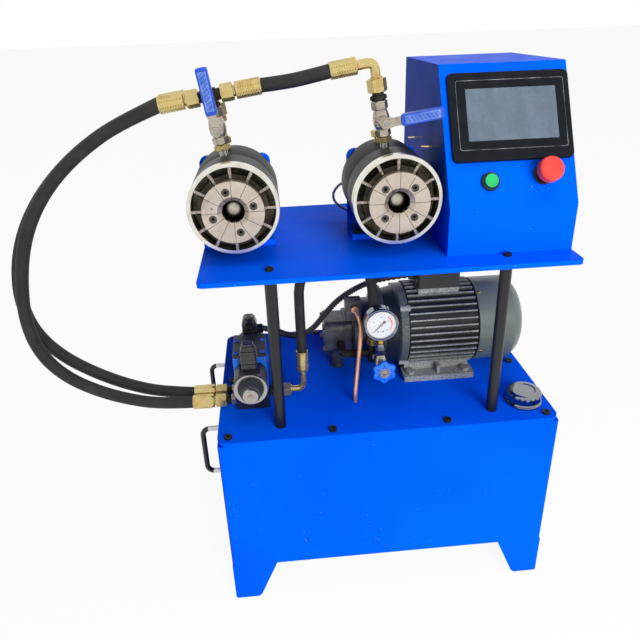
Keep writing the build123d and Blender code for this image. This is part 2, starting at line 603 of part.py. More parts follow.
with BuildPart() as solenoid_valve:
    with BuildSketch(Plane(at(MANIFOLD_X, (BODY_Y0 + BODY_Y1) / 2, MANIFOLD_TOP))):
        RectangleRounded(BODY_W, BODY_Y1 - BODY_Y0, 3)
    extrude(amount=BODY_TOP - MANIFOLD_TOP - 4)
    with BuildSketch(Plane(at(MANIFOLD_X, (BODY_Y0 + BODY_Y1) / 2, BODY_TOP - 4))):
        RectangleRounded(BODY_W - 1, BODY_Y1 - BODY_Y0 - 1, 3)
    extrude(amount=4)
    with BuildSketch(Plane(at(MANIFOLD_X, (BODY_Y0 + BODY_Y1) / 2, BODY_TOP))):
        with GridLocations(48, 60, 2, 2):
            Circle(4.5)
    extrude(amount=2.5)
    for face_y, outward, plug_y in ((BODY_Y0, -1, 75), (BODY_Y1, 1, PLUG_Y)):
        coil = Plane(at(MANIFOLD_X, face_y, SOLENOID_Z), x_dir=(1, 0, 0), z_dir=(0, outward, 0))
        lift = 1 if outward < 0 else -1
        # coil housing: round below, squared up under the plug
        with BuildSketch(coil):
            Circle(COIL_R)
            with Locations((0, lift * 15)):
                Rectangle(2 * COIL_R - 4, 30)
        extrude(amount=COIL_L - 3)
        with BuildSketch(coil.offset(COIL_L - 3)):
            Circle(COIL_R + 0.5)
            Circle(COIL_R - 5, mode=Mode.SUBTRACT)
        extrude(amount=3)
        with BuildSketch(coil.offset(COIL_L - 3)):
            RegularPolygon(17, 12, major_radius=False)
        extrude(amount=17)
        with BuildSketch(coil.offset(COIL_L + 14)):
            Circle(13)
            Circle(2.5, mode=Mode.SUBTRACT)
        extrude(amount=9)
        # plug on its foot
        with BuildSketch(Plane(at(MANIFOLD_X, plug_y, SOLENOID_Z + 30))):
            RectangleRounded(26, 30, 3)
        extrude(amount=10)
        with BuildSketch(Plane(at(MANIFOLD_X, plug_y, SOLENOID_Z + 40))):
            RectangleRounded(29, 29, 4)
        extrude(amount=34, taper=3)
        with BuildSketch(Plane(at(MANIFOLD_X, plug_y, SOLENOID_Z + 74))):
            RectangleRounded(22, 22, 4)
        extrude(amount=5)
    bar(at(MANIFOLD_X + 12, PLUG_Y, 505), RIGHTWARD, 14, 9, 6)
save(solenoid_valve.part, "solenoid_valve")

# ---------------------------------------------------------------- pressure gauge and its needle valve
GAUGE_BACK, STEM_Y = 28, 136
DIAL_DEPTH = 5
with BuildPart() as pressure_gauge:
    dial = facing_front(*GAUGE)
    with BuildSketch(dial.offset(-GAUGE_BACK)):
        Circle(GAUGE_R - 2)
    extrude(amount=GAUGE_BACK - 2)
    with BuildSketch(dial.offset(-10)):
        Circle(GAUGE_R)
    extrude(amount=10)
    fillet(pressure_gauge.faces().sort_by(Axis.Y)[0].edges(), 1.5)
    with BuildSketch(dial):
        Circle(GAUGE_R - 3)
    extrude(amount=-DIAL_DEPTH, mode=Mode.SUBTRACT)
    with BuildSketch(dial.offset(-DIAL_DEPTH)):
        Circle(1.55)
    extrude(amount=-4, mode=Mode.SUBTRACT)
    stem = at(GAUGE[0], STEM_Y, 503)
    bar(stem, (0, 0, -1), 16, 7, 6)
    bar(at(GAUGE[0], STEM_Y, 487), (0, 0, -1), 21, 8.5, 6)
    with BuildSketch(Plane(at(GAUGE[0], STEM_Y, 438))):
        RectangleRounded(22, 26, 4)
    extrude(amount=28)
    bar(at(WHEEL[0], STEM_Y - 13, WHEEL[2]), (0, -1, 0), 8, 8.5, 6)
    bar(at(WHEEL[0], STEM_Y - 21, WHEEL[2]), (0, -1, 0), 4, 6.5)
    with BuildSketch(Plane(at(WHEEL[0], STEM_Y, WHEEL[2]), z_dir=(0, -1, 0))):
        Circle(4.05)
    extrude(amount=30, mode=Mode.SUBTRACT)
    bar(at(-4, STEM_Y + 12, 452), (0, 1, 0), 4, 7)
    # outlet block and the elbow that joins it to the pump
    with BuildSketch(Plane(at(*BLOCK, BLOCK_TOP - 36))):
        RectangleRounded(BLOCK_W, BLOCK_W, 3)
    extrude(amount=36)
    outlet_start = at(BLOCK[0] - BLOCK_W / 2 + 1, BLOCK[1], 455)
    with BuildLine() as outlet:
        FilletPolyline(outlet_start, at(-66, BLOCK[1], 455), at(-66, 208, 455), radius=14)
    with BuildSketch(Plane(outlet_start, z_dir=LEFTWARD)) as tube:
        Circle(8)
    sweep(tube.sketch, path=outlet.wires()[0])
save(pressure_gauge.part, "pressure_gauge")

NEEDLE_REST = radians(225)  # zero lies at the lower left of the dial
with BuildPart() as gauge_needle:
    pointing = Vector(sin(NEEDLE_REST), 0, cos(NEEDLE_REST))
    with BuildSketch(Plane(at(GAUGE[0], GAUGE[1] + 3, GAUGE[2]), x_dir=pointing.cross(Vector(0, -1, 0)),
                           z_dir=(0, -1, 0))):
        Circle(3.2)
        Polygon((-1.1, 0), (1.1, 0), (0.4, 22), (-0.4, 22), align=None)
        Polygon((-1.6, 0), (1.6, 0), (2.4, -8), (-2.4, -8), align=None)
    extrude(amount=1)
    bar(at(GAUGE[0], GAUGE[1] + 8.5, GAUGE[2]), (0, -1, 0), 6, 1.5)
save(gauge_needle.part, "gauge_needle")

LOBES = 6
with BuildPart() as gauge_handwheel:
    wheel = facing_front(*WHEEL)
    with BuildSketch(wheel.offset(-5)):
        Circle(18)
        with PolarLocations(16.5, LOBES):
            Circle(6)
        with PolarLocations(13.5, LOBES, start_angle=30):
            RegularPolygon(3.2, 3, mode=Mode.SUBTRACT, rotation=180)
    extrude(amount=9)
    with BuildSketch(wheel.offset(4)):
        Circle(10.5)
    extrude(amount=1.5)
    bar(at(WHEEL[0], WHEEL[1] + 5, WHEEL[2]), (0, 1, 0), 5, 8)
    bar(at(WHEEL[0], WHEEL[1] + 10, WHEEL[2]), (0, 1, 0), 24, 4)
save(gauge_handwheel.part, "gauge_handwheel")

# ---------------------------------------------------------------- electric motor
MOTOR = at(0, MOTOR_Y, MOTOR_Z)
FOOT_X0, FOOT_X1, FOOT_Y, FOOT_T = 56, 199, 156, 12
SHAFT_R, BORE = 12, 42
with BuildPart() as motor_frame:
    with BuildSketch(facing_front(0, MOTOR_Y, MOTOR_Z)):
        with BuildLine():
            Polyline(
                (8, SHAFT_R + 0.05), (8, 82), (20, 82), (22, 74), (46, 79), (52, 84), (66, 84), (68, MOTOR_R),
                (204, MOTOR_R), (205, 82), (212, 82), (216, 60), (216, SHAFT_R + 0.05), (202, SHAFT_R + 0.05),
                (202, BORE), (40, BORE), (40, SHAFT_R + 0.05), close=True
            )
        make_face()
    revolve(axis=Axis(MOTOR, (1, 0, 0)))
    with BuildSketch(Plane(at(68, MOTOR_Y, MOTOR_Z), z_dir=(1, 0, 0))):
        with PolarLocations((FIN_R + MOTOR_R - 2) / 2, FINS):
            Rectangle(FIN_R - MOTOR_R + 2, 3)
    extrude(amount=134)
    with BuildSketch(Plane(at(50, MOTOR_Y, MOTOR_Z), z_dir=(1, 0, 0))):
        with PolarLocations(83, 4, start_angle=45):
            Circle(7)
    extrude(amount=20)
    for side in (-1, 1):
        foot_y = MOTOR_Y + side * (MOTOR_Y - FOOT_Y - 21)
        with BuildSketch(Plane(at((FOOT_X0 + FOOT_X1) / 2, foot_y, LID_TOP))):
            RectangleRounded(FOOT_X1 - FOOT_X0, 42, 4)
        extrude(amount=FOOT_T)
        with BuildSketch(Plane(at((FOOT_X0 + FOOT_X1) / 2, MOTOR_Y + side * 52, LID_TOP + FOOT_T - 1))):
            Rectangle(132, 16)
        extrude(amount=34)
        with BuildSketch(Plane(at((FOOT_X0 + FOOT_X1) / 2, MOTOR_Y + side * 64, LID_TOP + FOOT_T - 1))):
            Rectangle(7, 36)
        extrude(amount=16)
        with BuildSketch(Plane(at((FOOT_X0 + FOOT_X1) / 2, MOTOR_Y + side * 75, LID_TOP + FOOT_T))):
            with GridLocations(112, 1, 2, 1):
                RegularPolygon(8, 6, major_radius=False)
        extrude(amount=7)
    with BuildSketch(Plane(at(132, MOTOR_Y, MOTOR_Z + 70))):
        RectangleRounded(84, 74, 6)
    extrude(amount=52)
    with BuildSketch(Plane(at(132, MOTOR_Y, MOTOR_Z + 122))):
        RectangleRounded(90, 80, 7)
    extrude(amount=6)
    bar(at(90, MOTOR_Y, MOTOR_Z + 106), LEFTWARD, 12, 9, 6)
    with BuildSketch(facing_front(0, MOTOR_Y, MOTOR_Z)):
        with BuildLine():
            Polyline(
                (0, 0), (0, SHAFT_R + 0.05), (40, SHAFT_R + 0.05), (40, BORE), (202, BORE),
                (202, SHAFT_R + 0.05), (230, SHAFT_R + 0.05), (230, 0), close=True
            )
        make_face()
    revolve(axis=Axis(MOTOR, (1, 0, 0)), mode=Mode.SUBTRACT)
save(motor_frame.part, "motor_frame")

BLADES = 7
with BuildPart() as motor_rotor:
    with BuildSketch(facing_front(0, MOTOR_Y, MOTOR_Z)):
        with BuildLine():
            Polyline(
                (-28, 0), (-28, 24), (2, 24), (2, SHAFT_R), (50, SHAFT_R), (50, BORE - 0.6),
                (192, BORE - 0.6), (192, SHAFT_R), (222, SHAFT_R), (222, 22), (244, 18), (244, 0), close=True
            )
        make_face()
    revolve(axis=Axis(MOTOR, (1, 0, 0)))
    with BuildSketch(Plane(at(222, MOTOR_Y, MOTOR_Z), z_dir=(1, 0, 0))):
        Circle(66)
        Circle(16, mode=Mode.SUBTRACT)
    extrude(amount=3)
    with BuildSketch(Plane(at(224, MOTOR_Y, MOTOR_Z), z_dir=(1, 0, 0))):
        with PolarLocations(42, BLADES):
            Rectangle(48, 3)
    extrude(amount=22)
save(motor_rotor.part, "motor_rotor")

COWL_X0, COWL_X1, COWL_R = 206, 303, 86
with BuildPart() as fan_cowl:
    with BuildSketch(facing_front(0, MOTOR_Y, MOTOR_Z)):
        with BuildLine():
            Polyline((COWL_X0, COWL_R - 2), (COWL_X0, COWL_R), (COWL_X1 - 26, COWL_R))
            ThreePointArc((COWL_X1 - 26, COWL_R), (COWL_X1 - 8, 70), (COWL_X1, 46))
            Polyline((COWL_X1, 46), (COWL_X1, 0), (COWL_X1 - 2, 0), (COWL_X1 - 2, 46))
            ThreePointArc((COWL_X1 - 2, 46), (COWL_X1 - 9.5, 69), (COWL_X1 - 27, COWL_R - 2))
            Line((COWL_X1 - 27, COWL_R - 2), (COWL_X0, COWL_R - 2))
        make_face()
    revolve(axis=Axis(MOTOR, (1, 0, 0)))
    with BuildSketch(Plane(at(COWL_X1 + 1, MOTOR_Y, MOTOR_Z), z_dir=LEFTWARD)):
        for ring, count in ((14, 6), (26, 10), (38, 14)):
            with PolarLocations(ring, count):
                Circle(3.6)
    extrude(amount=4, mode=Mode.SUBTRACT)
save(fan_cowl.part, "fan_cowl")

# ---------------------------------------------------------------- bell housing, gear pump and drain pipe
PUMP_X0, PUMP_X1, PUMP_TOP, PUMP_LOW = -96, -42, 500, 430
with BuildPart() as gear_pump:
    with BuildSketch(facing_front(0, MOTOR_Y, MOTOR_Z)):
        with BuildLine():
            Polyline(
                (PUMP_X1, 14), (PUMP_X1, 52), (PUMP_X1 + 4, 58), (-2, 58), (5, 78), (8, 78), (8, 50),
                (-34, 50), (-34, 14), close=True
            )
        make_face()
    revolve(axis=Axis(MOTOR, (1, 0, 0)))
    middle = (PUMP_TOP + PUMP_LOW) / 2
    sections = ((PUMP_X1 - 14, PUMP_X1, 84, 74), (PUMP_X1 - 38, PUMP_X1 - 14, 76, 68),
                (PUMP_X0, PUMP_X1 - 38, 80, 70))
    for low, high, depth, height in sections:
        with BuildSketch(Plane(at(low, MOTOR_Y, middle), x_dir=(0, 1, 0), z_dir=(1, 0, 0))):
            RectangleRounded(depth, height, 14)
        extrude(amount=high - low)
    with BuildSketch(Plane(at(PUMP_X0, MOTOR_Y, middle), x_dir=(0, 1, 0), z_dir=(-1, 0, 0))):
        with GridLocations(58, 50, 2, 2):
            RegularPolygon(5, 6, major_radius=False)
    extrude(amount=5)
    bar(at(*SUCTION, PUMP_LOW + 2), (0, 0, -1), 22, 18, 6)
    bar(at(*SUCTION, PUMP_LOW - 18), (0, 0, -1), 92, 13)
    # drain block on top of the bell housing, and the copper pipe down to the lid
    with BuildSketch(Plane(at(-40, 208, 512))):
        RectangleRounded(31, 32, 2)
    extrude(amount=39)
    bar(at(-39, 192, 539), (0, -1, 0), 8, 6.5, 6)
    drain_route = [
        at(-39, 184, 539), at(-37, 165, 540), at(-31, 156, 512), at(-35, 142, 492), at(-43, 124, 440),
        at(DRAIN[0], DRAIN[1], 405), at(DRAIN[0], DRAIN[1], 360),
    ]
    with BuildLine() as drain:
        FilletPolyline(*drain_route, radius=bend_radii(drain_route))
    with BuildSketch(Plane(drain_route[0], z_dir=drain_route[1] - drain_route[0])) as tube:
        Circle(4)
    sweep(tube.sketch, path=drain.wires()[0])
save(gear_pump.part, "gear_pump")

# ---------------------------------------------------------------- control cabinet
SLOPE = Vector(0, CAB_TOP_Y - CAB_FRONT, CAB_TOP - CAB_FOLD_Z).normalized()
OUTWARD = Vector(1, 0, 0).cross(SLOPE)
SCREEN_AT, START_AT, STOP_AT = (208, 147), (167, 42), (256, 50)
COLLAR_R, COLLAR_T = 15, 3
LEAD_IN = (292, 697)  # where the sensor's lead enters the cabinet's left side


def on_slope(x, up):
    """A plane on the cabinet's slanted face: across from the middle, and up the slope from its fold."""
    return Plane(at(x, CAB_FRONT, CAB_FOLD_Z) + SLOPE * up, x_dir=(1, 0, 0), z_dir=OUTWARD)


with BuildPart() as control_cabinet:
    with BuildSketch(Plane(at(CAB_X0, 0, 0), x_dir=(0, 1, 0), z_dir=(1, 0, 0))):
        Polygon(
            (CAB_FRONT, SHELF_TOP), (CAB_BACK, SHELF_TOP), (CAB_BACK, CAB_TOP), (CAB_TOP_Y, CAB_TOP),
            (CAB_FRONT, CAB_FOLD_Z), align=None
        )
    extrude(amount=CAB_X1 - CAB_X0)
    offset(amount=-CAB_SHEET, openings=control_cabinet.faces().sort_by(Axis.Z)[0])
    with BuildSketch(on_slope(*SCREEN_AT)):
        Rectangle(SCREEN_W - 12, SCREEN_H - 12)
    extrude(amount=-4, mode=Mode.SUBTRACT)
    for spot in (START_AT, STOP_AT):
        with BuildSketch(on_slope(*spot)):
            Circle(11.2)
        extrude(amount=-4, mode=Mode.SUBTRACT)
    for depth, height in ((309, 838), (196, 840)):
        with BuildSketch(Plane(at(CAB_X0, depth, height), z_dir=LEFTWARD)):
            SlotOverall(100, 3)
        extrude(amount=-4, mode=Mode.SUBTRACT)
    # fixed collars of the two push buttons, each with its closed contact housing behind the sheet
    for spot in (START_AT, STOP_AT):
        face = on_slope(*spot)
        with BuildSketch(face):
            Circle(COLLAR_R)
        extrude(amount=COLLAR_T)
        with BuildSketch(face):
            Circle(11.1)
        extrude(amount=-30)
        with BuildSketch(face.offset(COLLAR_T)):
            Circle(8.4)
        extrude(amount=-27, mode=Mode.SUBTRACT)
    bar(at(CAB_X0, *LEAD_IN), LEFTWARD, 10, 6, 6)
save(control_cabinet.part, "control_cabinet")

with BuildPart() as touch_screen:
    face = on_slope(*SCREEN_AT)
    with BuildSketch(face):
        RectangleRounded(SCREEN_W, SCREEN_H, 5)
    extrude(amount=SCREEN_PROUD)
    chamfer(touch_screen.faces().sort_by(Axis((0, 0, 0), OUTWARD))[-1].edges(), 1.5)
    with BuildSketch(face.offset(SCREEN_PROUD)):
        with Locations((2, 6)):
            Rectangle(154, 86)
    extrude(amount=-1, mode=Mode.SUBTRACT)
    with BuildSketch(face):
        Rectangle(SCREEN_W - 14, SCREEN_H - 14)
    extrude(amount=-32)
save(touch_screen.part, "touch_screen")

with BuildPart() as start_button:
    face = on_slope(*START_AT)
    with BuildSketch(face.offset(COLLAR_T + 3.5)):
        Circle(11)
    extrude(amount=4)
    fillet(start_button.faces().sort_by(Axis((0, 0, 0), OUTWARD))[-1].edges(), 1.2)
    with BuildSketch(face.offset(COLLAR_T + 3.5)):
        Circle(8)
    extrude(amount=-22)
save(start_button.part, "start_button")

MUSHROOM_R = 20
with BuildPart() as stop_button:
    face = on_slope(*STOP_AT)
    with BuildSketch(face.offset(COLLAR_T + 18)):
        Circle(MUSHROOM_R)
    extrude(amount=16)
    fillet(stop_button.faces().sort_by(Axis((0, 0, 0), OUTWARD))[-1].edges(), 6)
    with BuildSketch(face.offset(COLLAR_T + 8)):
        Circle(13)
    extrude(amount=10, taper=-18)
    with BuildSketch(face.offset(COLLAR_T + 8)):
        Circle(8)
    extrude(amount=-26)
save(stop_button.part, "stop_button")

# ---------------------------------------------------------------- cable conduit and sensor lead
CONDUIT_R, LEAD_R = 6.5, 2.5
CONDUIT_ROUTE = [
    at(MANIFOLD_X + 26, PLUG_Y, 505), at(-197, PLUG_Y + 1, 500), at(-175, 206, 484), at(-147, 212, 477),
    at(-119, 219, 487), at(-96, 226, 513), at(-66, 233, 542), at(-25, 239, 564), at(20, 244, 577),
    at(78, MOTOR_Y, MOTOR_Z + 106),
]
LEAD_ROUTE = [
    at(SENSOR[0] - SENSOR_W / 2, 258, SENSOR[1]), at(-48, 259, 771), at(-61, 261, 762), at(-69, 264, 747),
    at(-65, 268, 731), at(-52, 272, 719), at(-34, 277, 708), at(-10, 283, 697), at(18, 288, 691),
    at(46, 291, 690.5), at(70, 292, 693.5), at(CAB_X0 - 10, *LEAD_IN),
]
with BuildPart() as cable_conduit:
    for name, route, radius in (("conduit", CONDUIT_ROUTE, CONDUIT_R), ("sensor lead", LEAD_ROUTE, LEAD_R)):
        with BuildLine() as path:
            FilletPolyline(*route, radius=bend_radii(route))
        with BuildSketch(Plane(route[0], z_dir=route[1] - route[0])) as tube:
            Circle(radius)
        sweep(tube.sketch, path=path.wires()[0])
        print(name, "length", round(path.wires()[0].length), "radii", [round(r) for r in bend_radii(route)])
save(cable_conduit.part, "cable_conduit")
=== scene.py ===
"""Looks of the two-head hose crimping machine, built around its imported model."""

from math import cos, pi, radians, sin, tau

import bmesh
import bpy
from mathutils import Matrix, Vector


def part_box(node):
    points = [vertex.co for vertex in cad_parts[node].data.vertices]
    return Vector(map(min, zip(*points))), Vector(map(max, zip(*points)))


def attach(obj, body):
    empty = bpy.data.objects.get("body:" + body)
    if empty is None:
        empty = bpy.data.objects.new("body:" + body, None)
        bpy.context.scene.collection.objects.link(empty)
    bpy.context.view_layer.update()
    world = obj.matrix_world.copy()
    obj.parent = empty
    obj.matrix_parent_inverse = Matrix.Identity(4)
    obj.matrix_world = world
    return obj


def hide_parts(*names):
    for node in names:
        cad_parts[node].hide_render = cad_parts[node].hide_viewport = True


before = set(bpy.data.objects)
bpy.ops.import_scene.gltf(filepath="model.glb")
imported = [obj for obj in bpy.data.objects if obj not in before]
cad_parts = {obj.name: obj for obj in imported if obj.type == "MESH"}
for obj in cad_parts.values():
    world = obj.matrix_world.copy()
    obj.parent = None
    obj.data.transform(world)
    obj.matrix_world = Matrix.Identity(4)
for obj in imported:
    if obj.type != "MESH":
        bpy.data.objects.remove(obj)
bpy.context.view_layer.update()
MM = 0.001

# ---------------------------------------------------------------- places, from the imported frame
lid_low, lid_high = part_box("tank_lid")
MIDDLE, FRONT = (lid_low.x + lid_high.x) / 2, lid_low.y
HEADS = {"left": -246.0, "right": 18.7}  # each crimping head's axis, from the machine's middle
HEAD_Z = 779
MOTOR_Y, MOTOR_Z = 246, 474  # the motor shaft's line
JAW_FLANGE = 75.6  # depth where a jaw's ground face ends
RING_RIM = 66.8  # radius where a ring's guide blades end and its rim begins
FIN_FOOT, FIN_CREST = 79, 87.2  # radii of the motor's fins
TERMINAL_BOX, TERMINAL_LID = 562.5, 596.5  # heights where the box and its lid begin
HANDLE_DIP = 334  # distance from the middle where the handles' black dip begins
DRAIN_X, DRAIN_Y = -20, 184.5  # the drain pipe is left of the one and ahead of the other
LEAN = radians(8.2)
RIGHT, UP, BACK = Vector((1, 0, 0)), Vector((0, 0, 1)), Vector((0, 1, 0))


def at(x, y, z):
    """A point given in millimetres from the machine's middle, the tank's front face and the floor."""
    return Vector((MIDDLE + x * MM, FRONT + y * MM, z * MM))


def place(origin, axis, across=RIGHT):
    """Millimetres about an origin, z along an axis and x near across, turned into the row frame's metres."""
    up = Vector(axis).normalized()
    side = Vector(across)
    side = (side - up * side.dot(up)).normalized()
    turn = Matrix((side, up.cross(side), up)).transposed().to_4x4()
    return Matrix.Translation(origin) @ turn @ Matrix.Scale(MM, 4)


def column(side, up, depth):
    """A place on a head's leaning valve column, with z up the column and x to the right."""
    lean = Vector((-sin(LEAN), 0, cos(LEAN)))
    return place(at(HEADS[side], depth, HEAD_Z) + lean * up * MM, lean)


# ---------------------------------------------------------------- nodes and colours
def linear(code):
    """An sRGB hex colour as linear red, green, blue and alpha."""
    parts = [int(code[i:i + 2], 16) / 255 for i in (1, 3, 5)]
    return tuple(c / 12.92 if c <= 0.04045 else ((c + 0.055) / 1.055) ** 2.4 for c in parts) + (1.0,)


def add(material, kind, inputs, stops=(), **settings):
    """A shader node with its settings, and a ramp's stops: (position, colour or grey).

    Each input is a number, a hex colour, another node's output, or a node, joined by its first live output.
    """
    node = material.node_tree.nodes.new("ShaderNode" + kind)
    for name, value in settings.items():
        setattr(node, name, value)
    for key, value in inputs.items():
        if isinstance(value, bpy.types.Node):
            value = next(output for output in value.outputs if output.enabled)
        if isinstance(value, bpy.types.NodeSocket):
            material.node_tree.links.new(value, node.inputs[key])
        else:
            node.inputs[key].default_value = linear(value) if isinstance(value, str) else value
    for _ in stops[2:]:
        node.color_ramp.elements.new(0.5)
    for number, (position, tone) in enumerate(stops):
        element = node.color_ramp.elements[number]
        element.position = position
        element.color = linear(tone) if isinstance(tone, str) else (tone, tone, tone, 1)
    return node


def blank(name):
    """A new material with an empty tree, and the object's own coordinates in metres."""
    material = bpy.data.materials.new(name)
    material.use_nodes = True
    material.node_tree.nodes.clear()
    return material, add(material, "TexCoord", {}).outputs["Object"]


# ---------------------------------------------------------------- materials
def powder_coat(name, deep="#0050E4", bright="#005CF4", edge_mm=0.9):
    """Gloss blue powder coat on sheet steel: even colour, a faint orange peel, a few pale specks of dust."""
    m, where = blank(name)
    clouds = add(m, "TexNoise", {"Vector": where, "Scale": 1 / (286 * MM), "Detail": 1})
    specks = add(m, "TexVoronoi", {"Vector": where, "Scale": 1 / (7.7 * MM), "Randomness": 1.0})
    cells = add(m, "TexNoise", {"Vector": where, "Scale": 1 / (32 * MM), "Detail": 1})
    rare = add(m, "Math", {0: cells, 1: 0.64}, operation="GREATER_THAN")
    dot = add(m, "Math", {0: specks, 1: 0.075}, operation="LESS_THAN")
    dust = add(m, "Math", {0: rare, 1: dot}, operation="MULTIPLY")
    base = add(m, "ValToRGB", {"Fac": clouds}, stops=((0.3, deep), (0.7, bright)))
    colour = add(m, "Mix", {"Factor": dust, 6: base, 7: "#9DB6EE"}, data_type="RGBA")
    haze = add(m, "TexNoise", {"Vector": where, "Scale": 1 / (42 * MM), "Detail": 4})
    roughness = add(m, "ValToRGB", {"Fac": haze}, stops=((0.3, 0.3), (0.75, 0.42)))
    grit = add(m, "TexNoise", {"Vector": where, "Scale": 1 / (2.38 * MM), "Detail": 1})
    edges = add(m, "Bevel", {"Radius": edge_mm * MM})
    peel = add(m, "Bump", {"Height": grit, "Distance": 0.05 * MM, "Strength": 0.6, "Normal": edges})
    surface = add(m, "BsdfPrincipled", {"Base Color": colour, "Roughness": roughness, "Normal": peel,
                                        "Specular IOR Level": 0.01, "Specular Tint": "#5A8CFF"})
    add(m, "OutputMaterial", {"Surface": surface})
    return m


def satin_black_paint(name="satin_black_paint", tone="#0B0C10"):
    """Brushed-on satin black paint: almost even, a little dust and dull streaks down the length."""
    m, where = blank(name)
    drawn = add(m, "Mapping", {"Vector": where, "Scale": (1, 1, 0.06)})
    streaks = add(m, "TexNoise", {"Vector": drawn, "Scale": 1 / (16.7 * MM), "Detail": 4})
    colour = add(m, "ValToRGB", {"Fac": streaks}, stops=((0.35, tone), (0.75, "#18191E")))
    roughness = add(m, "ValToRGB", {"Fac": streaks}, stops=((0.3, 0.3), (0.8, 0.5)))
    edges = add(m, "Bevel", {"Radius": 0.4 * MM})
    relief = add(m, "Bump", {"Height": streaks, "Distance": 0.06 * MM, "Strength": 0.5, "Normal": edges})
    surface = add(m, "BsdfPrincipled", {"Base Color": colour, "Roughness": roughness, "Normal": relief})
    add(m, "OutputMaterial", {"Surface": surface})
    return m


def black_oxide_steel():
    """Turned steel, chemically blackened and oiled: near black, fine rings around, a soft metal sheen.

    The tool's rings are drawn coarser than they are, to show.
    """
    m, where = blank("black_oxide_steel")
    rings = add(m, "TexWave", {"Vector": where, "Scale": 1 / (5.3 * MM), "Distortion": 0.6, "Detail": 1.0},
                wave_type="BANDS", bands_direction="Y").outputs["Fac"]
    patches = add(m, "TexNoise", {"Vector": where, "Scale": 1 / (38 * MM), "Detail": 5})
    colour = add(m, "ValToRGB", {"Fac": patches}, stops=((0.3, "#1B1A18"), (0.6, "#2A2926"),
                                                         (0.85, "#3C3E36")))
    roughness = add(m, "ValToRGB", {"Fac": patches}, stops=((0.3, 0.34), (0.8, 0.5)))
    edges = add(m, "Bevel", {"Radius": 0.5 * MM})
    relief = add(m, "Bump", {"Height": rings, "Distance": 0.02 * MM, "Strength": 0.5, "Normal": edges})
    surface = add(m, "BsdfPrincipled", {"Base Color": colour, "Metallic": 0.2, "Roughness": roughness,
                                        "Specular IOR Level": 0.1, "Normal": relief})
    add(m, "OutputMaterial", {"Surface": surface})
    return m


def ground_steel():
    """Jaws: surface-ground faces, warm and bright with faint brown stains; behind the flange, inside the
    head, oily and darkened with painted shade.

    The grinding scratches are drawn coarser than they are, to show.
    """
    m, where = blank("ground_steel")
    parts = add(m, "SeparateXYZ", {0: where})
    # painted shade: behind the flange, inside the head, the jaws are coloured dark over their film of oil
    behind = add(m, "Math", {0: parts.outputs[1], 1: at(0, JAW_FLANGE, 0).y}, operation="GREATER_THAN")
    drawn = add(m, "Mapping", {"Vector": where, "Scale": (1, 1, 0.04)})
    scratches = add(m, "TexNoise", {"Vector": drawn, "Scale": 1 / (1.11 * MM), "Detail": 2})
    stains = add(m, "TexNoise", {"Vector": where, "Scale": 1 / (29 * MM), "Detail": 5, "Roughness": 0.55})
    face = add(m, "ValToRGB", {"Fac": stains}, stops=((0.3, "#D8CCBE"), (0.6, "#C8BBAD"), (0.72, "#B29B83"),
                                                      (0.8, "#92755C")))
    smear = add(m, "TexNoise", {"Vector": where, "Scale": 1 / (16.7 * MM), "Detail": 4})
    oil_film_and_painted_shade = add(m, "ValToRGB", {"Fac": smear}, stops=((0.3, "#2A2520"), (0.7, "#4A4438")))
    colour = add(m, "Mix", {"Factor": behind, 6: face, 7: oil_film_and_painted_shade}, data_type="RGBA")
    haze = add(m, "TexNoise", {"Vector": where, "Scale": 1 / (14.3 * MM), "Detail": 4})
    roughness = add(m, "ValToRGB", {"Fac": haze}, stops=((0.3, 0.34), (0.8, 0.5)))
    edges = add(m, "Bevel", {"Radius": 0.25 * MM})
    relief = add(m, "Bump", {"Height": scratches, "Distance": 0.012 * MM, "Strength": 0.6, "Normal": edges})
    surface = add(m, "BsdfPrincipled", {"Base Color": colour, "Metallic": 0.9, "Roughness": roughness,
                                        "Normal": relief})
    add(m, "OutputMaterial", {"Surface": surface})
    return m


def ring_steel():
    """The heads' rings: a turned bright rim, and rough flame-cut guide blades with brown scale inside it."""
    m, where = blank("ring_steel")
    parts = add(m, "SeparateXYZ", {0: where})
    centre = (at(HEADS["left"], 0, 0).x + at(HEADS["right"], 0, 0).x) / 2
    half = (HEADS["right"] - HEADS["left"]) / 2 * MM
    aside = add(m, "Math", {0: parts.outputs[0], 1: centre}, operation="SUBTRACT")
    folded = add(m, "Math", {0: aside}, operation="ABSOLUTE")
    dx = add(m, "Math", {0: folded, 1: half}, operation="SUBTRACT")
    dz = add(m, "Math", {0: parts.outputs[2], 1: HEAD_Z * MM}, operation="SUBTRACT")
    around = add(m, "CombineXYZ", {0: dx, 1: dz})
    radius = add(m, "VectorMath", {0: around}, operation="LENGTH")
    rim = add(m, "Math", {0: radius, 1: RING_RIM * MM}, operation="GREATER_THAN")
    pits = add(m, "TexNoise", {"Vector": where, "Scale": 1 / (2.38 * MM), "Detail": 6, "Roughness": 0.7})
    scale = add(m, "ValToRGB", {"Fac": pits}, stops=((0.32, "#6E5D52"), (0.47, "#A99C92"), (0.62, "#DDD5CC")))
    tarnish = add(m, "TexNoise", {"Vector": where, "Scale": 1 / (16.7 * MM), "Detail": 4})
    bright = add(m, "ValToRGB", {"Fac": tarnish}, stops=((0.3, "#F2EFEA"), (0.62, "#E4DFD2"),
                                                         (0.8, "#CFC48A")))
    colour = add(m, "Mix", {"Factor": rim, 6: scale, 7: bright}, data_type="RGBA")
    roughness = add(m, "ValToRGB", {"Fac": rim}, stops=((0.0, 0.48), (1.0, 0.28)))
    edges = add(m, "Bevel", {"Radius": 0.4 * MM})
    relief = add(m, "Bump", {"Height": pits, "Distance": 0.08 * MM, "Strength": 0.35, "Normal": edges})
    surface = add(m, "BsdfPrincipled", {"Base Color": colour, "Metallic": 1.0, "Roughness": roughness,
                                        "Normal": relief})
    add(m, "OutputMaterial", {"Surface": surface})
    return m


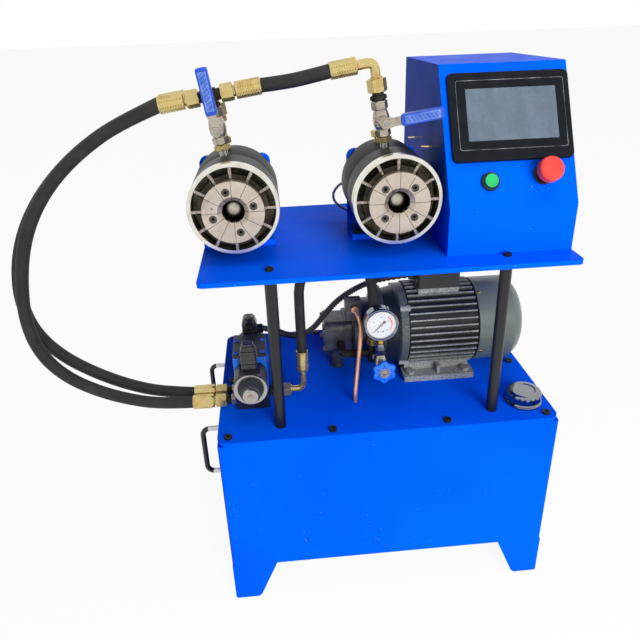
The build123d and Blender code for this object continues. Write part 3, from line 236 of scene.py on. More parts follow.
def nickel_plate():
    """Nickel-plated forged brass: warm silver, a fine grit left by the forging die."""
    m, where = blank("nickel_plate")
    grit = add(m, "TexNoise", {"Vector": where, "Scale": 1 / (1.54 * MM), "Detail": 4, "Roughness": 0.6})
    mottle = add(m, "TexNoise", {"Vector": where, "Scale": 1 / (11.1 * MM), "Detail": 5})
    colour = add(m, "ValToRGB", {"Fac": mottle}, stops=((0.3, "#A39A89"), (0.6, "#BFB6A6"), (0.8, "#7E7362")))
    edges = add(m, "Bevel", {"Radius": 0.35 * MM})
    relief = add(m, "Bump", {"Height": grit, "Distance": 0.05 * MM, "Strength": 0.4, "Normal": edges})
    surface = add(m, "BsdfPrincipled", {"Base Color": colour, "Metallic": 0.9, "Roughness": 0.27,
                                        "Normal": relief})
    add(m, "OutputMaterial", {"Surface": surface})
    return m


def yellow_zinc():
    """Yellow-passivated zinc plate: pale gold that drifts to green and copper, with a satin gloss."""
    m, where = blank("yellow_zinc")
    drift = add(m, "TexNoise", {"Vector": where, "Scale": 1 / (25 * MM), "Detail": 2})
    colour = add(m, "ValToRGB", {"Fac": drift}, stops=((0.28, "#C8BA80"), (0.5, "#D2BC7C"), (0.66, "#BF9C60"),
                                                       (0.8, "#A29156")))
    haze = add(m, "TexNoise", {"Vector": where, "Scale": 1 / (6.2 * MM), "Detail": 4})
    roughness = add(m, "ValToRGB", {"Fac": haze}, stops=((0.3, 0.2), (0.8, 0.36)))
    relief = add(m, "Bump", {"Height": drift, "Distance": 0.02 * MM, "Strength": 0.3})
    surface = add(m, "BsdfPrincipled", {"Base Color": colour, "Metallic": 0.85, "Roughness": roughness,
                                        "Normal": relief})
    add(m, "OutputMaterial", {"Surface": surface})
    return m


def bright_metal(name, tone, roughness, edge_mm=0.3):
    """Polished or plated metal with hairline wear: chrome, silver zinc, brass or copper by its tone."""
    m, where = blank(name)
    wear = add(m, "TexNoise", {"Vector": where, "Scale": 1 / (4.17 * MM), "Detail": 5, "Roughness": 0.6})
    colour = add(m, "ValToRGB", {"Fac": wear}, stops=((0.55, tone), (0.9, "#8E8A84")))
    gloss = add(m, "ValToRGB", {"Fac": wear}, stops=((0.45, roughness), (0.85, min(1.0, roughness * 1.6))))
    edges = add(m, "Bevel", {"Radius": edge_mm * MM})
    relief = add(m, "Bump", {"Height": wear, "Distance": 0.008 * MM, "Strength": 0.3, "Normal": edges})
    surface = add(m, "BsdfPrincipled", {"Base Color": colour, "Metallic": 1.0, "Roughness": gloss,
                                        "Normal": relief})
    add(m, "OutputMaterial", {"Surface": surface})
    return m


def hose_rubber():
    """Hose cover of black rubber cured in cloth tape: dull, with the tape's fine print and a chalky bloom."""
    m, where = blank("hose_rubber")
    tape = add(m, "TexNoise", {"Vector": where, "Scale": 1 / (1.25 * MM), "Detail": 2})
    bloom = add(m, "TexNoise", {"Vector": where, "Scale": 1 / (26 * MM), "Detail": 5})
    colour = add(m, "ValToRGB", {"Fac": bloom}, stops=((0.3, "#191919"), (0.7, "#262625"), (0.85, "#333230")))
    relief = add(m, "Bump", {"Height": tape, "Distance": 0.12 * MM, "Strength": 0.5})
    surface = add(m, "BsdfPrincipled", {"Base Color": colour, "Roughness": 0.62, "Specular IOR Level": 0.4,
                                        "Normal": relief})
    add(m, "OutputMaterial", {"Surface": surface})
    return m


def moulded_plastic(name, tone, worn, roughness=0.4, grit_mm=1.43, edge_mm=0.4, coat=0.0, shine=0.5):
    """Injection-moulded plastic: even colour, a fine spark texture and slightly polished high spots."""
    m, where = blank(name)
    mottle = add(m, "TexNoise", {"Vector": where, "Scale": 1 / (22 * MM), "Detail": 4})
    colour = add(m, "ValToRGB", {"Fac": mottle}, stops=((0.35, tone), (0.8, worn)))
    haze = add(m, "TexNoise", {"Vector": where, "Scale": 1 / (12.5 * MM), "Detail": 3})
    gloss = add(m, "ValToRGB", {"Fac": haze}, stops=((0.3, roughness), (0.8, min(1.0, roughness + 0.14))))
    grit = add(m, "TexNoise", {"Vector": where, "Scale": 1 / (grit_mm * MM), "Detail": 2})
    edges = add(m, "Bevel", {"Radius": edge_mm * MM})
    relief = add(m, "Bump", {"Height": grit, "Distance": 0.03 * MM, "Strength": 0.5, "Normal": edges})
    surface = add(m, "BsdfPrincipled", {"Base Color": colour, "Roughness": gloss, "Coat Weight": coat,
                                        "Coat Roughness": 0.08, "Specular IOR Level": shine,
                                        "Normal": relief})
    add(m, "OutputMaterial", {"Surface": surface})
    return m


def motor_enamel():
    """Grey enamel sprayed on the motor's sand casting: a painted highlight on the fins' crests, painted shade
    between them.

    The terminal box is plainer and darkened with painted shade, with a pale lid.
    """
    m, where = blank("motor_enamel")
    parts = add(m, "SeparateXYZ", {0: where})
    across = add(m, "Math", {0: parts.outputs[1], 1: at(0, MOTOR_Y, 0).y}, operation="SUBTRACT")
    height = add(m, "Math", {0: parts.outputs[2], 1: MOTOR_Z * MM}, operation="SUBTRACT")
    around = add(m, "CombineXYZ", {0: across, 1: height})
    radius = add(m, "VectorMath", {0: around}, operation="LENGTH")
    sand = add(m, "TexNoise", {"Vector": where, "Scale": 1 / (3.03 * MM), "Detail": 5, "Roughness": 0.65})
    # painted highlight and shade: lighter towards the fins' crests, darker down between the fins
    rise = add(m, "MapRange", {0: radius, 1: FIN_FOOT * MM, 2: FIN_CREST * MM})
    fin_highlight_and_valley_shade = add(m, "ValToRGB", {"Fac": rise}, stops=((0.0, "#1E2325"), (0.5, "#454C4E"), (0.85, "#747B7A"),
                                                     (1.0, "#999E9B")))
    speck = add(m, "ValToRGB", {"Fac": sand}, stops=((0.38, "#8A8A8A"), (0.6, "#FFFFFF")))
    colour = add(m, "Mix", {"Factor": 0.8, 6: fin_highlight_and_valley_shade, 7: speck}, data_type="RGBA", blend_type="MULTIPLY")
    # painted shade: the terminal box, in shade under the shelf, is coloured dark; its lid keeps its own pale
    # colour
    terminal_box_shade = add(m, "Math", {0: parts.outputs[2], 1: TERMINAL_BOX * MM}, operation="GREATER_THAN")
    colour = add(m, "Mix", {"Factor": terminal_box_shade, 6: colour, 7: "#26292A"}, data_type="RGBA")
    lid = add(m, "Math", {0: parts.outputs[2], 1: TERMINAL_LID * MM}, operation="GREATER_THAN")
    colour = add(m, "Mix", {"Factor": lid, 6: colour, 7: "#8C887C"}, data_type="RGBA")
    haze = add(m, "TexNoise", {"Vector": where, "Scale": 1 / (16.7 * MM), "Detail": 3})
    roughness = add(m, "ValToRGB", {"Fac": haze}, stops=((0.3, 0.34), (0.8, 0.48)))
    edges = add(m, "Bevel", {"Radius": 0.6 * MM})
    relief = add(m, "Bump", {"Height": sand, "Distance": 0.35 * MM, "Strength": 0.55, "Normal": edges})
    surface = add(m, "BsdfPrincipled", {"Base Color": colour, "Roughness": roughness, "Normal": relief})
    add(m, "OutputMaterial", {"Surface": surface})
    return m


def pressed_sheet():
    """The fan cowl: thin pressed sheet under smooth grey enamel, slightly glossy."""
    m, where = blank("pressed_sheet")
    mottle = add(m, "TexNoise", {"Vector": where, "Scale": 1 / (143 * MM), "Detail": 2})
    colour = add(m, "ValToRGB", {"Fac": mottle}, stops=((0.3, "#4E5653"), (0.7, "#606865")))
    grit = add(m, "TexNoise", {"Vector": where, "Scale": 1 / (2 * MM), "Detail": 1})
    edges = add(m, "Bevel", {"Radius": 0.8 * MM})
    relief = add(m, "Bump", {"Height": grit, "Distance": 0.03 * MM, "Strength": 0.4, "Normal": edges})
    surface = add(m, "BsdfPrincipled", {"Base Color": colour, "Roughness": 0.3, "Normal": relief})
    add(m, "OutputMaterial", {"Surface": surface})
    return m


def wire_handle():
    """Bow handles: bright plated wire at the legs, dipped in black plastic where the hand goes."""
    m, where = blank("wire_handle")
    parts = add(m, "SeparateXYZ", {0: where})
    aside = add(m, "Math", {0: parts.outputs[0], 1: MIDDLE}, operation="SUBTRACT")
    reach = add(m, "Math", {0: aside}, operation="ABSOLUTE")
    dipped = add(m, "Math", {0: reach, 1: HANDLE_DIP * MM}, operation="GREATER_THAN")
    colour = add(m, "ValToRGB", {"Fac": dipped}, stops=((0.0, "#C9C9CC"), (1.0, "#17181A")))
    metal = add(m, "Math", {0: 1.0, 1: dipped}, operation="SUBTRACT")
    surface = add(m, "BsdfPrincipled", {"Base Color": colour, "Metallic": metal, "Roughness": 0.28})
    add(m, "OutputMaterial", {"Surface": surface})
    return m


def pump_castings():
    """The pump's oily cast aluminium, and the bare copper of the drain pipe that comes forward from it."""
    m, where = blank("pump_castings")
    parts = add(m, "SeparateXYZ", {0: where})
    aside = add(m, "Math", {0: parts.outputs[0], 1: MIDDLE + DRAIN_X * MM}, operation="LESS_THAN")
    ahead = add(m, "Math", {0: parts.outputs[1], 1: FRONT + DRAIN_Y * MM}, operation="LESS_THAN")
    pipe = add(m, "Math", {0: aside, 1: ahead}, operation="MULTIPLY")
    oil = add(m, "TexNoise", {"Vector": where, "Scale": 1 / (16.7 * MM), "Detail": 5})
    cast = add(m, "ValToRGB", {"Fac": oil}, stops=((0.3, "#4A4B4C"), (0.6, "#656667"), (0.85, "#33322F")))
    patina = add(m, "TexNoise", {"Vector": where, "Scale": 1 / (25 * MM), "Detail": 4})
    copper = add(m, "ValToRGB", {"Fac": patina}, stops=((0.3, "#E8A684"), (0.6, "#F0B492"),
                                                        (0.85, "#C8886C")))
    colour = add(m, "Mix", {"Factor": pipe, 6: cast, 7: copper}, data_type="RGBA")
    roughness = add(m, "ValToRGB", {"Fac": pipe}, stops=((0.0, 0.45), (1.0, 0.28)))
    grit = add(m, "TexNoise", {"Vector": where, "Scale": 1 / (2 * MM), "Detail": 4})
    edges = add(m, "Bevel", {"Radius": 0.5 * MM})
    relief = add(m, "Bump", {"Height": grit, "Distance": 0.04 * MM, "Strength": 0.4, "Normal": edges})
    surface = add(m, "BsdfPrincipled", {"Base Color": colour, "Metallic": 0.8, "Roughness": roughness,
                                        "Normal": relief})
    add(m, "OutputMaterial", {"Surface": surface})
    return m


def touch_glass():
    """The panel's unlit display: grey-blue film under plastic, dulled by finger smears."""
    m, where = blank("touch_glass")
    drawn = add(m, "Mapping", {"Vector": where, "Scale": (1, 1, 0.5)})
    smears = add(m, "TexNoise", {"Vector": drawn, "Scale": 1 / (38 * MM), "Detail": 5, "Roughness": 0.65})
    colour = add(m, "ValToRGB", {"Fac": smears}, stops=((0.3, "#46535F"), (0.6, "#556472"), (0.8, "#6C7A86")))
    roughness = add(m, "ValToRGB", {"Fac": smears}, stops=((0.3, 0.16), (0.8, 0.42)))
    surface = add(m, "BsdfPrincipled", {"Base Color": colour, "Roughness": roughness, "Coat Weight": 0.3,
                                        "Coat Roughness": 0.1})
    add(m, "OutputMaterial", {"Surface": surface})
    return m


def clear_window():
    """A thin clear window: mostly see-through, with a faint reflection."""
    m, _ = blank("clear_window")
    surface = add(m, "BsdfPrincipled", {"Base Color": "#FFFFFF", "Roughness": 0.04, "Alpha": 0.06})
    add(m, "OutputMaterial", {"Surface": surface})
    return m


def machined_steel():
    """Milled steel with a thin dark film of oil."""
    m, where = blank("machined_steel")
    drawn = add(m, "Mapping", {"Vector": where, "Scale": (0.05, 1, 1)})
    lines = add(m, "TexNoise", {"Vector": drawn, "Scale": 1 / (1.43 * MM), "Detail": 2})
    mottle = add(m, "TexNoise", {"Vector": where, "Scale": 1 / (20 * MM), "Detail": 4})
    colour = add(m, "ValToRGB", {"Fac": mottle}, stops=((0.3, "#3D3F42"), (0.8, "#5A5C5F")))
    edges = add(m, "Bevel", {"Radius": 0.5 * MM})
    relief = add(m, "Bump", {"Height": lines, "Distance": 0.02 * MM, "Strength": 0.5, "Normal": edges})
    surface = add(m, "BsdfPrincipled", {"Base Color": colour, "Metallic": 0.9, "Roughness": 0.4,
                                        "Normal": relief})
    add(m, "OutputMaterial", {"Surface": surface})
    return m


BLUE = powder_coat("blue_powder_coat")
BLACK = satin_black_paint()
OXIDE = black_oxide_steel()
STEEL = ground_steel()
RING = ring_steel()
NICKEL = nickel_plate()
ZINC = yellow_zinc()
CHROME = bright_metal("chrome_plate", "#8F9298", 0.06)
ROD = bright_metal("turned_rod_end", "#CFCABA", 0.42)
SCREW = bright_metal("screw_steel", "#4B4743", 0.3)
SILVER = bright_metal("silver_zinc", "#B2B0AB", 0.24)
BRASS = bright_metal("brass", "#D9A94E", 0.22)
COPPER = bright_metal("copper_pipe", "#E39A72", 0.26)
RUBBER = hose_rubber()
PLASTIC = moulded_plastic("black_plastic", "#1A1B1D", "#2A2B2D")
VINYL = moulded_plastic("blue_vinyl", "#0E3CA4", "#1A4CB8", 0.34, 2.0, 0.6, 0.15)
RUBBED = moulded_plastic("rubbed_vinyl", "#3659A8", "#7F98CE", 0.42, 1.11, 0.3)
WHEEL_BLUE = moulded_plastic("handwheel_enamel", "#0660EE", "#1B78FA", 0.3, 2.5, 0.8, 0.3)
VALVE_BLUE = moulded_plastic("valve_body_enamel", "#0A66DA", "#1478EE", 0.34, 2.63, 0.6, 0.2)
RED = moulded_plastic("red_plastic", "#E0352F", "#EE4A42", 0.42, 1.67, 0.8)
GREEN = moulded_plastic("green_plastic", "#04A050", "#12BE66", 0.3, 1.67, 0.5, 0.4)
# painted highlight: the pale grey of the bezel's thin line stands for the highlights along its groove
BEZEL_BEAD_HIGHLIGHT = moulded_plastic("bezel_bead_painted_highlight", "#2A2F36", "#A4A9AE", 0.2, 3.3, 0.3, 0.5)
BEZEL = moulded_plastic("screen_bezel_plastic", "#0A0E13", "#12171D", 0.3, 3.3, 0.8, 0.0, 0.15)
ENAMEL = motor_enamel()
COWL = pressed_sheet()
PUMP = pump_castings()
HANDLE = wire_handle()
SCREEN = touch_glass()
GLASS = clear_window()
DIAL = moulded_plastic("dial_paper", "#CFD0D0", "#C2C4C4", 0.6, 3.3)
GLOSS = moulded_plastic("gloss_black_plastic", "#101012", "#1C1C1F", 0.14, 4.5, 0.6, 0.5)
COIL = moulded_plastic("coil_moulding", "#26292F", "#343840", 0.42, 2.0, 0.8)
CONDUIT_BLACK = moulded_plastic("conduit_plastic", "#1C1D1F", "#2C2D30", 0.36, 3.3)
GREY_LEAD = moulded_plastic("grey_cable", "#8A8C8E", "#B0B2B4", 0.35, 3.3)
DARK = machined_steel()
OILED = bright_metal("oiled_bore", "#5F5C49", 0.36)

NODE_FINISH = {
    BLUE: ("tank_shell", "tank_lid", "shelf_plate", "head_brackets", "control_cabinet"),
    BLACK: ("support_posts", "gauge_needle"),
    OXIDE: ("socket_screws", "head_barrels"),
    RING: ("front_rings",),
    NICKEL: ("ball_valves",),
    ZINC: ("hydraulic_adapters", "hose_fittings"),
    CHROME: ("filler_cap", "filler_neck", "pressure_gauge"),
    RUBBER: ("long_hose_front", "long_hose_rear", "link_hose", "pump_hose"),
    HANDLE: ("bow_handles",),
    PLASTIC: ("solenoid_valve", "cable_conduit"),
    VINYL: ("left_valve_lever", "right_valve_lever"),
    WHEEL_BLUE: ("gauge_handwheel",),
    ENAMEL: ("motor_frame",),
    COWL: ("fan_cowl",),
    PUMP: ("gear_pump",),
    DARK: ("manifold_block", "motor_rotor"),
    OILED: ("left_piston", "right_piston"),
    BEZEL: ("touch_screen",),
    GREEN: ("start_button",),
    RED: ("stop_button",),
    STEEL: tuple(f"{side}_jaw_{number:02d}" for side in HEADS for number in range(1, 13)),
}
for finish, nodes in NODE_FINISH.items():
    for node in nodes:
        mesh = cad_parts[node].data
        mesh.materials.clear()
        mesh.materials.append(finish)

# ---------------------------------------------------------------- camera
EYE = Vector((-0.16595, -1.09276, 1.04829))
PITCH, YAW, ROLL = radians(26.11), radians(4.07), radians(-2.1)
ahead = Vector((sin(YAW) * cos(PITCH), cos(YAW) * cos(PITCH), -sin(PITCH)))
level = Vector((cos(YAW), -sin(YAW), 0))
upright = level.cross(ahead)
side = level * cos(ROLL) + upright * sin(ROLL)
top = upright * cos(ROLL) - level * sin(ROLL)
camera = bpy.data.objects.new("camera", bpy.data.cameras.new("camera"))
camera.data.lens, camera.data.sensor_width = 34.63, 36.0
camera.data.clip_start, camera.data.clip_end = 0.01, 50.0
camera.matrix_world = Matrix.Translation(EYE) @ Matrix((side, top, -ahead)).transposed().to_4x4()
bpy.context.scene.collection.objects.link(camera)
bpy.context.scene.camera = camera


# ---------------------------------------------------------------- hoses
def hose_line(name, points, diameter):
    """A round hose whose line is smooth through its route."""
    curve = bpy.data.curves.new(name, "CURVE")
    curve.dimensions = "3D"
    spline = curve.splines.new("NURBS")
    spline.points.add(len(points) - 1)
    for spot, point in zip(spline.points, points):
        spot.co = (*point, 1)
    spline.order_u, spline.use_endpoint_u = 3, True
    spline.resolution_u = 12
    curve.bevel_depth, curve.bevel_resolution, curve.use_fill_caps = diameter / 2, 8, True
    piece = bpy.data.objects.new(name, curve)
    bpy.context.scene.collection.objects.link(piece)
    return piece


def local(matrix, x, y, z):
    """A point in a place's own millimetres."""
    return matrix @ Vector((x, y, z))


NUT, FERRULE, LOWER_FERRULE, PUMP_FERRULE = 22, 43, 42, 40  # lengths along a hose's end
TEE_REACH, ADAPTER = 16.5, 19  # how far the tee's arms and the manifold's adapters stand out
PORT_A, PORT_B = 145, 209  # depth of a barrel's front and rear port
ELBOW_FOOT = {"right": 162, "left": 128}  # height of each elbow's nut up its column
PORT_X0, PORT_X1, PORT_Z = -276, -214, 400
HOSE_PORTS = {"front": 117, "rear": 151}
tee = column("left", 168, PORT_A)
lower_x = PORT_X0 - ADAPTER - NUT - LOWER_FERRULE
front_low, rear_low = (at(lower_x, y, PORT_Z) for y in HOSE_PORTS.values())
front_high = local(tee, -TEE_REACH - NUT - FERRULE, 0, 0)
link_left = local(tee, TEE_REACH + NUT + FERRULE, 0, 0)
elbow_corner = local(column("right", ELBOW_FOOT["right"] + 45, PORT_A), 0, 0, 0)
toward_tee = (link_left - elbow_corner).normalized()
link_right_out = elbow_corner + toward_tee * 28 * MM
link_right = elbow_corner + toward_tee * (28 + FERRULE) * MM
rear_corner = column("left", ELBOW_FOOT["left"] + 38, PORT_B)
rear_out = local(rear_corner, -46, 0, 0)
rear_high = local(rear_corner, -46 - FERRULE, 0, 0)
pump_turn, pump_out = at(-147, 137, PORT_Z + 1), at(-147, 139, 441)
pump_low = pump_out + (pump_out - pump_turn).normalized() * PUMP_FERRULE * MM
pump_high = at(-6, 163, 474 + 14 + PUMP_FERRULE)

ROUTES = {
    "long_hose_front": [
        front_low, at(-413, 118, 401), at(-468, 121, 411), at(-530, 124, 434), at(-587, 128, 470),
        at(-622, 131, 520), at(-633, 134, 582), at(-625, 136, 650), at(-607, 138, 717), at(-578, 140, 775),
        at(-535, 142, 828), at(-480, 144, 873), at(-415, 145, 911), front_high,
    ],
    "long_hose_rear": [
        rear_low, at(-415, 152, 406), at(-470, 153, 422), at(-533, 156, 452), at(-594, 160, 494),
        at(-634, 164, 546), at(-648, 169, 608), at(-640, 175, 672), at(-618, 182, 731), at(-584, 190, 784),
        at(-540, 197, 830), at(-488, 204, 870), at(-428, 208, 903), rear_high,
    ],
    "link_hose": [
        link_left, link_left.lerp(link_right, 0.34) - UP * 2.5 * MM,
        link_left.lerp(link_right, 0.67) - UP * 2.2 * MM, link_right,
    ],
    "pump_hose": [
        pump_low, at(-147, 150, 524), at(-147, 158, 566), at(-146, 164, 609), at(-127, 171, 641),
        at(-95, 178, 660), at(-57, 180, 660), at(-27, 180, 641), at(-10, 175, 609), at(-6, 167, 568),
        pump_high,
    ],
}
LENGTHS = {"long_hose_front": 0.850, "long_hose_rear": 0.849, "link_hose": 0.110, "pump_hose": 0.394}
for name, route in ROUTES.items():
    diameter = 0.019 if name == "pump_hose" else 0.022
    hose = hose_line(name + "_rubber", route, diameter)
    hose.data.materials.append(RUBBER)
    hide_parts(name)
    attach(hose, "frame")
    if LENGTHS[name] > 6 * diameter:
        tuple(route[0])

# ---------------------------------------------------------------- a small workshop for pieces
FRONTWARD, LEFTWARD = -BACK, -RIGHT


def rounded(width, height, radius, steps=6):
    """Outline of a rectangle with round corners, about its middle."""
    points = []
    for quarter, (x, y) in enumerate(((1, 1), (-1, 1), (-1, -1), (1, -1))):
        for step in range(steps + 1):
            angle = tau / 4 * (quarter + step / steps)
            points.append((x * (width / 2 - radius) + radius * cos(angle),
                           y * (height / 2 - radius) + radius * sin(angle)))
    return points


def circle(radius, steps=48):
    """Outline of a circle about its middle."""
    return [(radius * cos(tau * i / steps), radius * sin(tau * i / steps)) for i in range(steps)]


class Piece:
    """One mesh put together from turned, milled and skinned shapes, each in its own finish."""

    def __init__(self, name):
        self.name, self.mesh, self.finishes = name, bmesh.new(), []

    def skin(self, where, rings, finish, ends=(True, True)):
        """Faces over a stack of rings with equal numbers of points, closed at the ends that are asked for."""
        if finish not in self.finishes:
            self.finishes.append(finish)
        rows = [[self.mesh.verts.new(where @ Vector(point)) for point in ring] for ring in rings]
        faces = [
            self.mesh.faces.new((low[i], low[(i + 1) % len(low)], high[(i + 1) % len(low)], high[i]))
            for low, high in zip(rows, rows[1:]) for i in range(len(low))
        ]
        for row, closed in ((rows[0][::-1], ends[0]), (rows[-1], ends[1])):
            if closed:
                faces.append(self.mesh.faces.new(row))
        for face in faces:
            face.smooth = True
            face.material_index = self.finishes.index(finish)

    def turned(self, where, profile, finish, steps=48):
        """A lathe shape: (radius, height) pairs turned about z. One that ends where it starts is a ring."""
        loop = profile[0] == profile[-1]
        rings = [[(x, y, height) for x, y in circle(max(radius, 0.01), steps)] for radius, height in profile]
        self.skin(where, rings, finish, (not loop, not loop))

    def milled(self, where, outline, low, high, finish, hole=None, draw=1.0):
        """An outline raised from one height to another, drawn in or out at the top, maybe with a hole."""
        rings = [[(x, y, low) for x, y in outline], [(x * draw, y * draw, high) for x, y in outline]]
        if hole:
            inner = [[(x, y, height) for x, y in hole] for height in (high, low)]
            rings = rings + inner + rings[:1]
        self.skin(where, rings, finish, (not hole, not hole))

    def nut(self, where, across, low, high, finish, corners=6, fall=0.5):
        """A hexagon with its corners turned off at both ends; across is half its width over the flats."""
        steps = corners * 8
        walls = []
        for i in range(steps):
            angle = tau * i / steps
            walls.append((angle, across / cos(angle % (tau / corners) - pi / corners)))
        shoulder = across * 0.95
        rings = [
            [(shoulder * cos(a), shoulder * sin(a), low) for a, r in walls],
            [(r * cos(a), r * sin(a), low + fall * (r - shoulder)) for a, r in walls],
            [(r * cos(a), r * sin(a), high - fall * (r - shoulder)) for a, r in walls],
            [(shoulder * cos(a), shoulder * sin(a), high) for a, r in walls],
        ]
        self.skin(where, rings, finish)

    def done(self, body, slot, *nodes, bevel=0.35, angle=32):
        """Make the object, soften its edges, and let it ride on a body in place of the nodes named."""
        bmesh.ops.remove_doubles(self.mesh, verts=self.mesh.verts, dist=1e-6)
        bmesh.ops.recalc_face_normals(self.mesh, faces=self.mesh.faces)
        data = bpy.data.meshes.new(self.name)
        self.mesh.to_mesh(data)
        self.mesh.free()
        for finish in self.finishes:
            data.materials.append(finish)
        piece = bpy.data.objects.new(self.name, data)
        bpy.context.scene.collection.objects.link(piece)
        edges = piece.modifiers.new("edges", "BEVEL")
        edges.width, edges.segments, edges.harden_normals = bevel * MM, 2, True
        edges.limit_method, edges.angle_limit = "ANGLE", radians(angle)
        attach(piece, body)
        if nodes:
            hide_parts(*nodes)
        return piece


def metal_pipe(name, points, radius, finish, slot, *nodes):
    """A bent metal pipe whose corners are eased by the points either side of them."""
    pipe = hose_line(name, points, 2 * radius * MM)
    pipe.data.materials.append(finish)
    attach(pipe, "frame")
    if nodes:
        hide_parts(*nodes)
    return pipe


def elbow_points(start, corner, end, ease):
    """Route of a bent pipe: straight legs and a bend that begins a little before the corner."""
    into, away = (corner - start), (end - corner)
    return [start, start + into * (1 - ease) * 0.5, corner - into * ease, corner, corner + away * ease,
            end - away * (1 - ease) * 0.5, end]


# ---------------------------------------------------------------- hose ends
def crimped(across, length, dented):
    """Rings of a crimped ferrule: rows of slanting dents between smooth bands, or plain long flats."""
    rows, steps, jaws, rings = 60 if dented else 14, 96, 8, []
    for row in range(rows + 1):
        height = length * row / rows
        lip = min(height, length - height)
        ring = []
        for i in range(steps):
            angle = tau * i / steps
            around = (jaws * i / steps) % 1
            radius = across
            if dented and lip > 2.2:
                row_band = max(0.0, 1 - ((around - 0.5) / 0.27) ** 2)
                radius -= 1.25 * row_band * max(0.0, sin(tau * (height / 4.1 + around * 0.5))) ** 0.8 + 0.12
                dots = max(0.0, cos(tau * around)) ** 8 * max(0.0, sin(tau * height / 2.6)) ** 2
                radius -= 0.35 * dots
            elif not dented and lip > 2:
                radius -= 0.75 * (0.5 + 0.5 * cos(tau * around)) ** 2
            radius -= max(0.0, 0.9 - lip) * 0.9
            ring.append((radius * cos(angle), radius * sin(angle), height))
        rings.append(ring)
    return rings


def hose_end(name, start, along, nut, across, length, ferrule, dented=True):
    """A swivel nut, its neck and the ferrule crimped on the hose, one after the other along a line."""
    where = place(start, along, UP if abs(Vector(along).normalized().z) < 0.8 else RIGHT)
    end = Piece(name)
    if nut:
        end.nut(where, across, 0.6, nut - 0.6, ZINC)
        end.turned(where, [(across * 0.7, nut - 1), (across * 0.7, nut + 1.4), (across * 0.62, nut + 2.6),
                           (across * 0.62, nut + 4)], ZINC)
    gap = 2.6 if nut else 0.0
    back = where @ Matrix.Translation((0, 0, nut + gap))
    end.skin(back, crimped(ferrule, length - gap, dented), ZINC)
    return end


tee_left, tee_right = local(tee, -TEE_REACH, 0, 0), local(tee, TEE_REACH, 0, 0)
lower_ends = {key: at(PORT_X0 - ADAPTER, y, PORT_Z) for key, y in HOSE_PORTS.items()}
ferrules = [
    hose_end("front_hose_upper_end", tee_left, front_high - tee_left, NUT, 12.1, FERRULE, 13.6),
    hose_end("link_hose_left_end", tee_right, link_left - tee_right, NUT, 12.1, FERRULE, 13.6),
    hose_end("link_hose_right_end", link_right_out, link_right - link_right_out, 0, 12.1, FERRULE, 13.6),
    hose_end("rear_hose_upper_end", rear_out, rear_high - rear_out, 0, 12.1, FERRULE, 13.6),
    hose_end("front_hose_lower_end", lower_ends["front"], LEFTWARD, NUT, 12.2, LOWER_FERRULE, 13.9, False),
    hose_end("rear_hose_lower_end", lower_ends["rear"], LEFTWARD, NUT, 12.2, LOWER_FERRULE, 13.9, False),
    hose_end("pump_hose_lower_end", pump_out, pump_low - pump_out, 0, 12.2, PUMP_FERRULE, 12, False),
    hose_end("pump_hose_upper_end", at(-6, 163, 474), UP, 14, 12, PUMP_FERRULE, 12, False),
]
for hose_fitting in ferrules:
    hose_fitting.done("frame", "yellow_zinc", "hose_fittings", bevel=0.2)

ELBOW_NUT = 21  # length of an elbow's nut
elbow_foot = column("right", ELBOW_FOOT["right"], PORT_A)
elbow_top = local(elbow_foot, 0, 0, ELBOW_NUT)
swivel = Piece("right_elbow_nut")
swivel.nut(elbow_foot, 13.9, 0, ELBOW_NUT, ZINC)
swivel.turned(elbow_foot, [(10, 20), (10, 22.5), (8.4, 24)], ZINC)
swivel.done("frame", "yellow_zinc", "hose_fittings")
metal_pipe("right_elbow_pipe", elbow_points(link_right_out, elbow_corner, elbow_top, 0.92), 7.8, ZINC,
           "yellow_zinc", "hose_fittings")
elbow_foot = column("left", ELBOW_FOOT["left"], PORT_B)
rear_up = local(elbow_foot, 0, 0, ELBOW_NUT)
swivel = Piece("rear_elbow_nut")
swivel.nut(elbow_foot, 13.5, 0, ELBOW_NUT, ZINC)
swivel.done("frame", "yellow_zinc", "hose_fittings")
metal_pipe("rear_elbow_pipe", elbow_points(rear_out, rear_corner @ Vector(), rear_up, 0.85), 7.4, ZINC,
           "yellow_zinc", "hose_fittings")
pump_nut = at(PORT_X1 + 24, 137, PORT_Z + 1)
swivel = Piece("pump_hose_nut")
swivel.nut(place(pump_nut, RIGHT, UP), 12.2, 0, 18, ZINC)
swivel.turned(place(pump_nut, RIGHT, UP), [(8.5, 17), (8.5, 19.5), (7, 21)], ZINC)
swivel.done("frame", "yellow_zinc", "hose_fittings")
metal_pipe("pump_elbow_pipe", elbow_points(pump_nut + RIGHT * 16 * MM, pump_turn, pump_out, 0.85), 6, ZINC,
           "yellow_zinc", "hose_fittings")

# ---------------------------------------------------------------- adapters between hoses, valves and manifold
for side in HEADS:
    front_nipple, rear_nipple = column(side, 0, PORT_A), column(side, 0, PORT_B)
    joint = Piece(f"{side}_valve_nipple")
    joint.turned(front_nipple, [(7, 72), (7, 82.5), (6, 83.5), (6, 94)], SILVER)
    joint.nut(front_nipple, 9.6, 82.6, 92.4, ZINC, corners=4)
    joint.done("frame", "yellow_zinc", "hydraulic_adapters")
    joint = Piece(f"{side}_rear_nipple")
    joint.turned(rear_nipple, [(7, 72), (7, 83)], ZINC)
    joint.nut(rear_nipple, 10, 82, 93, ZINC)
    if side == "left":
        joint.turned(rear_nipple, [(8, 92.8), (8, 119)], ZINC)
        joint.nut(rear_nipple, 11, 118, 127.8, ZINC)
    joint.done("frame", "yellow_zinc", "hydraulic_adapters")

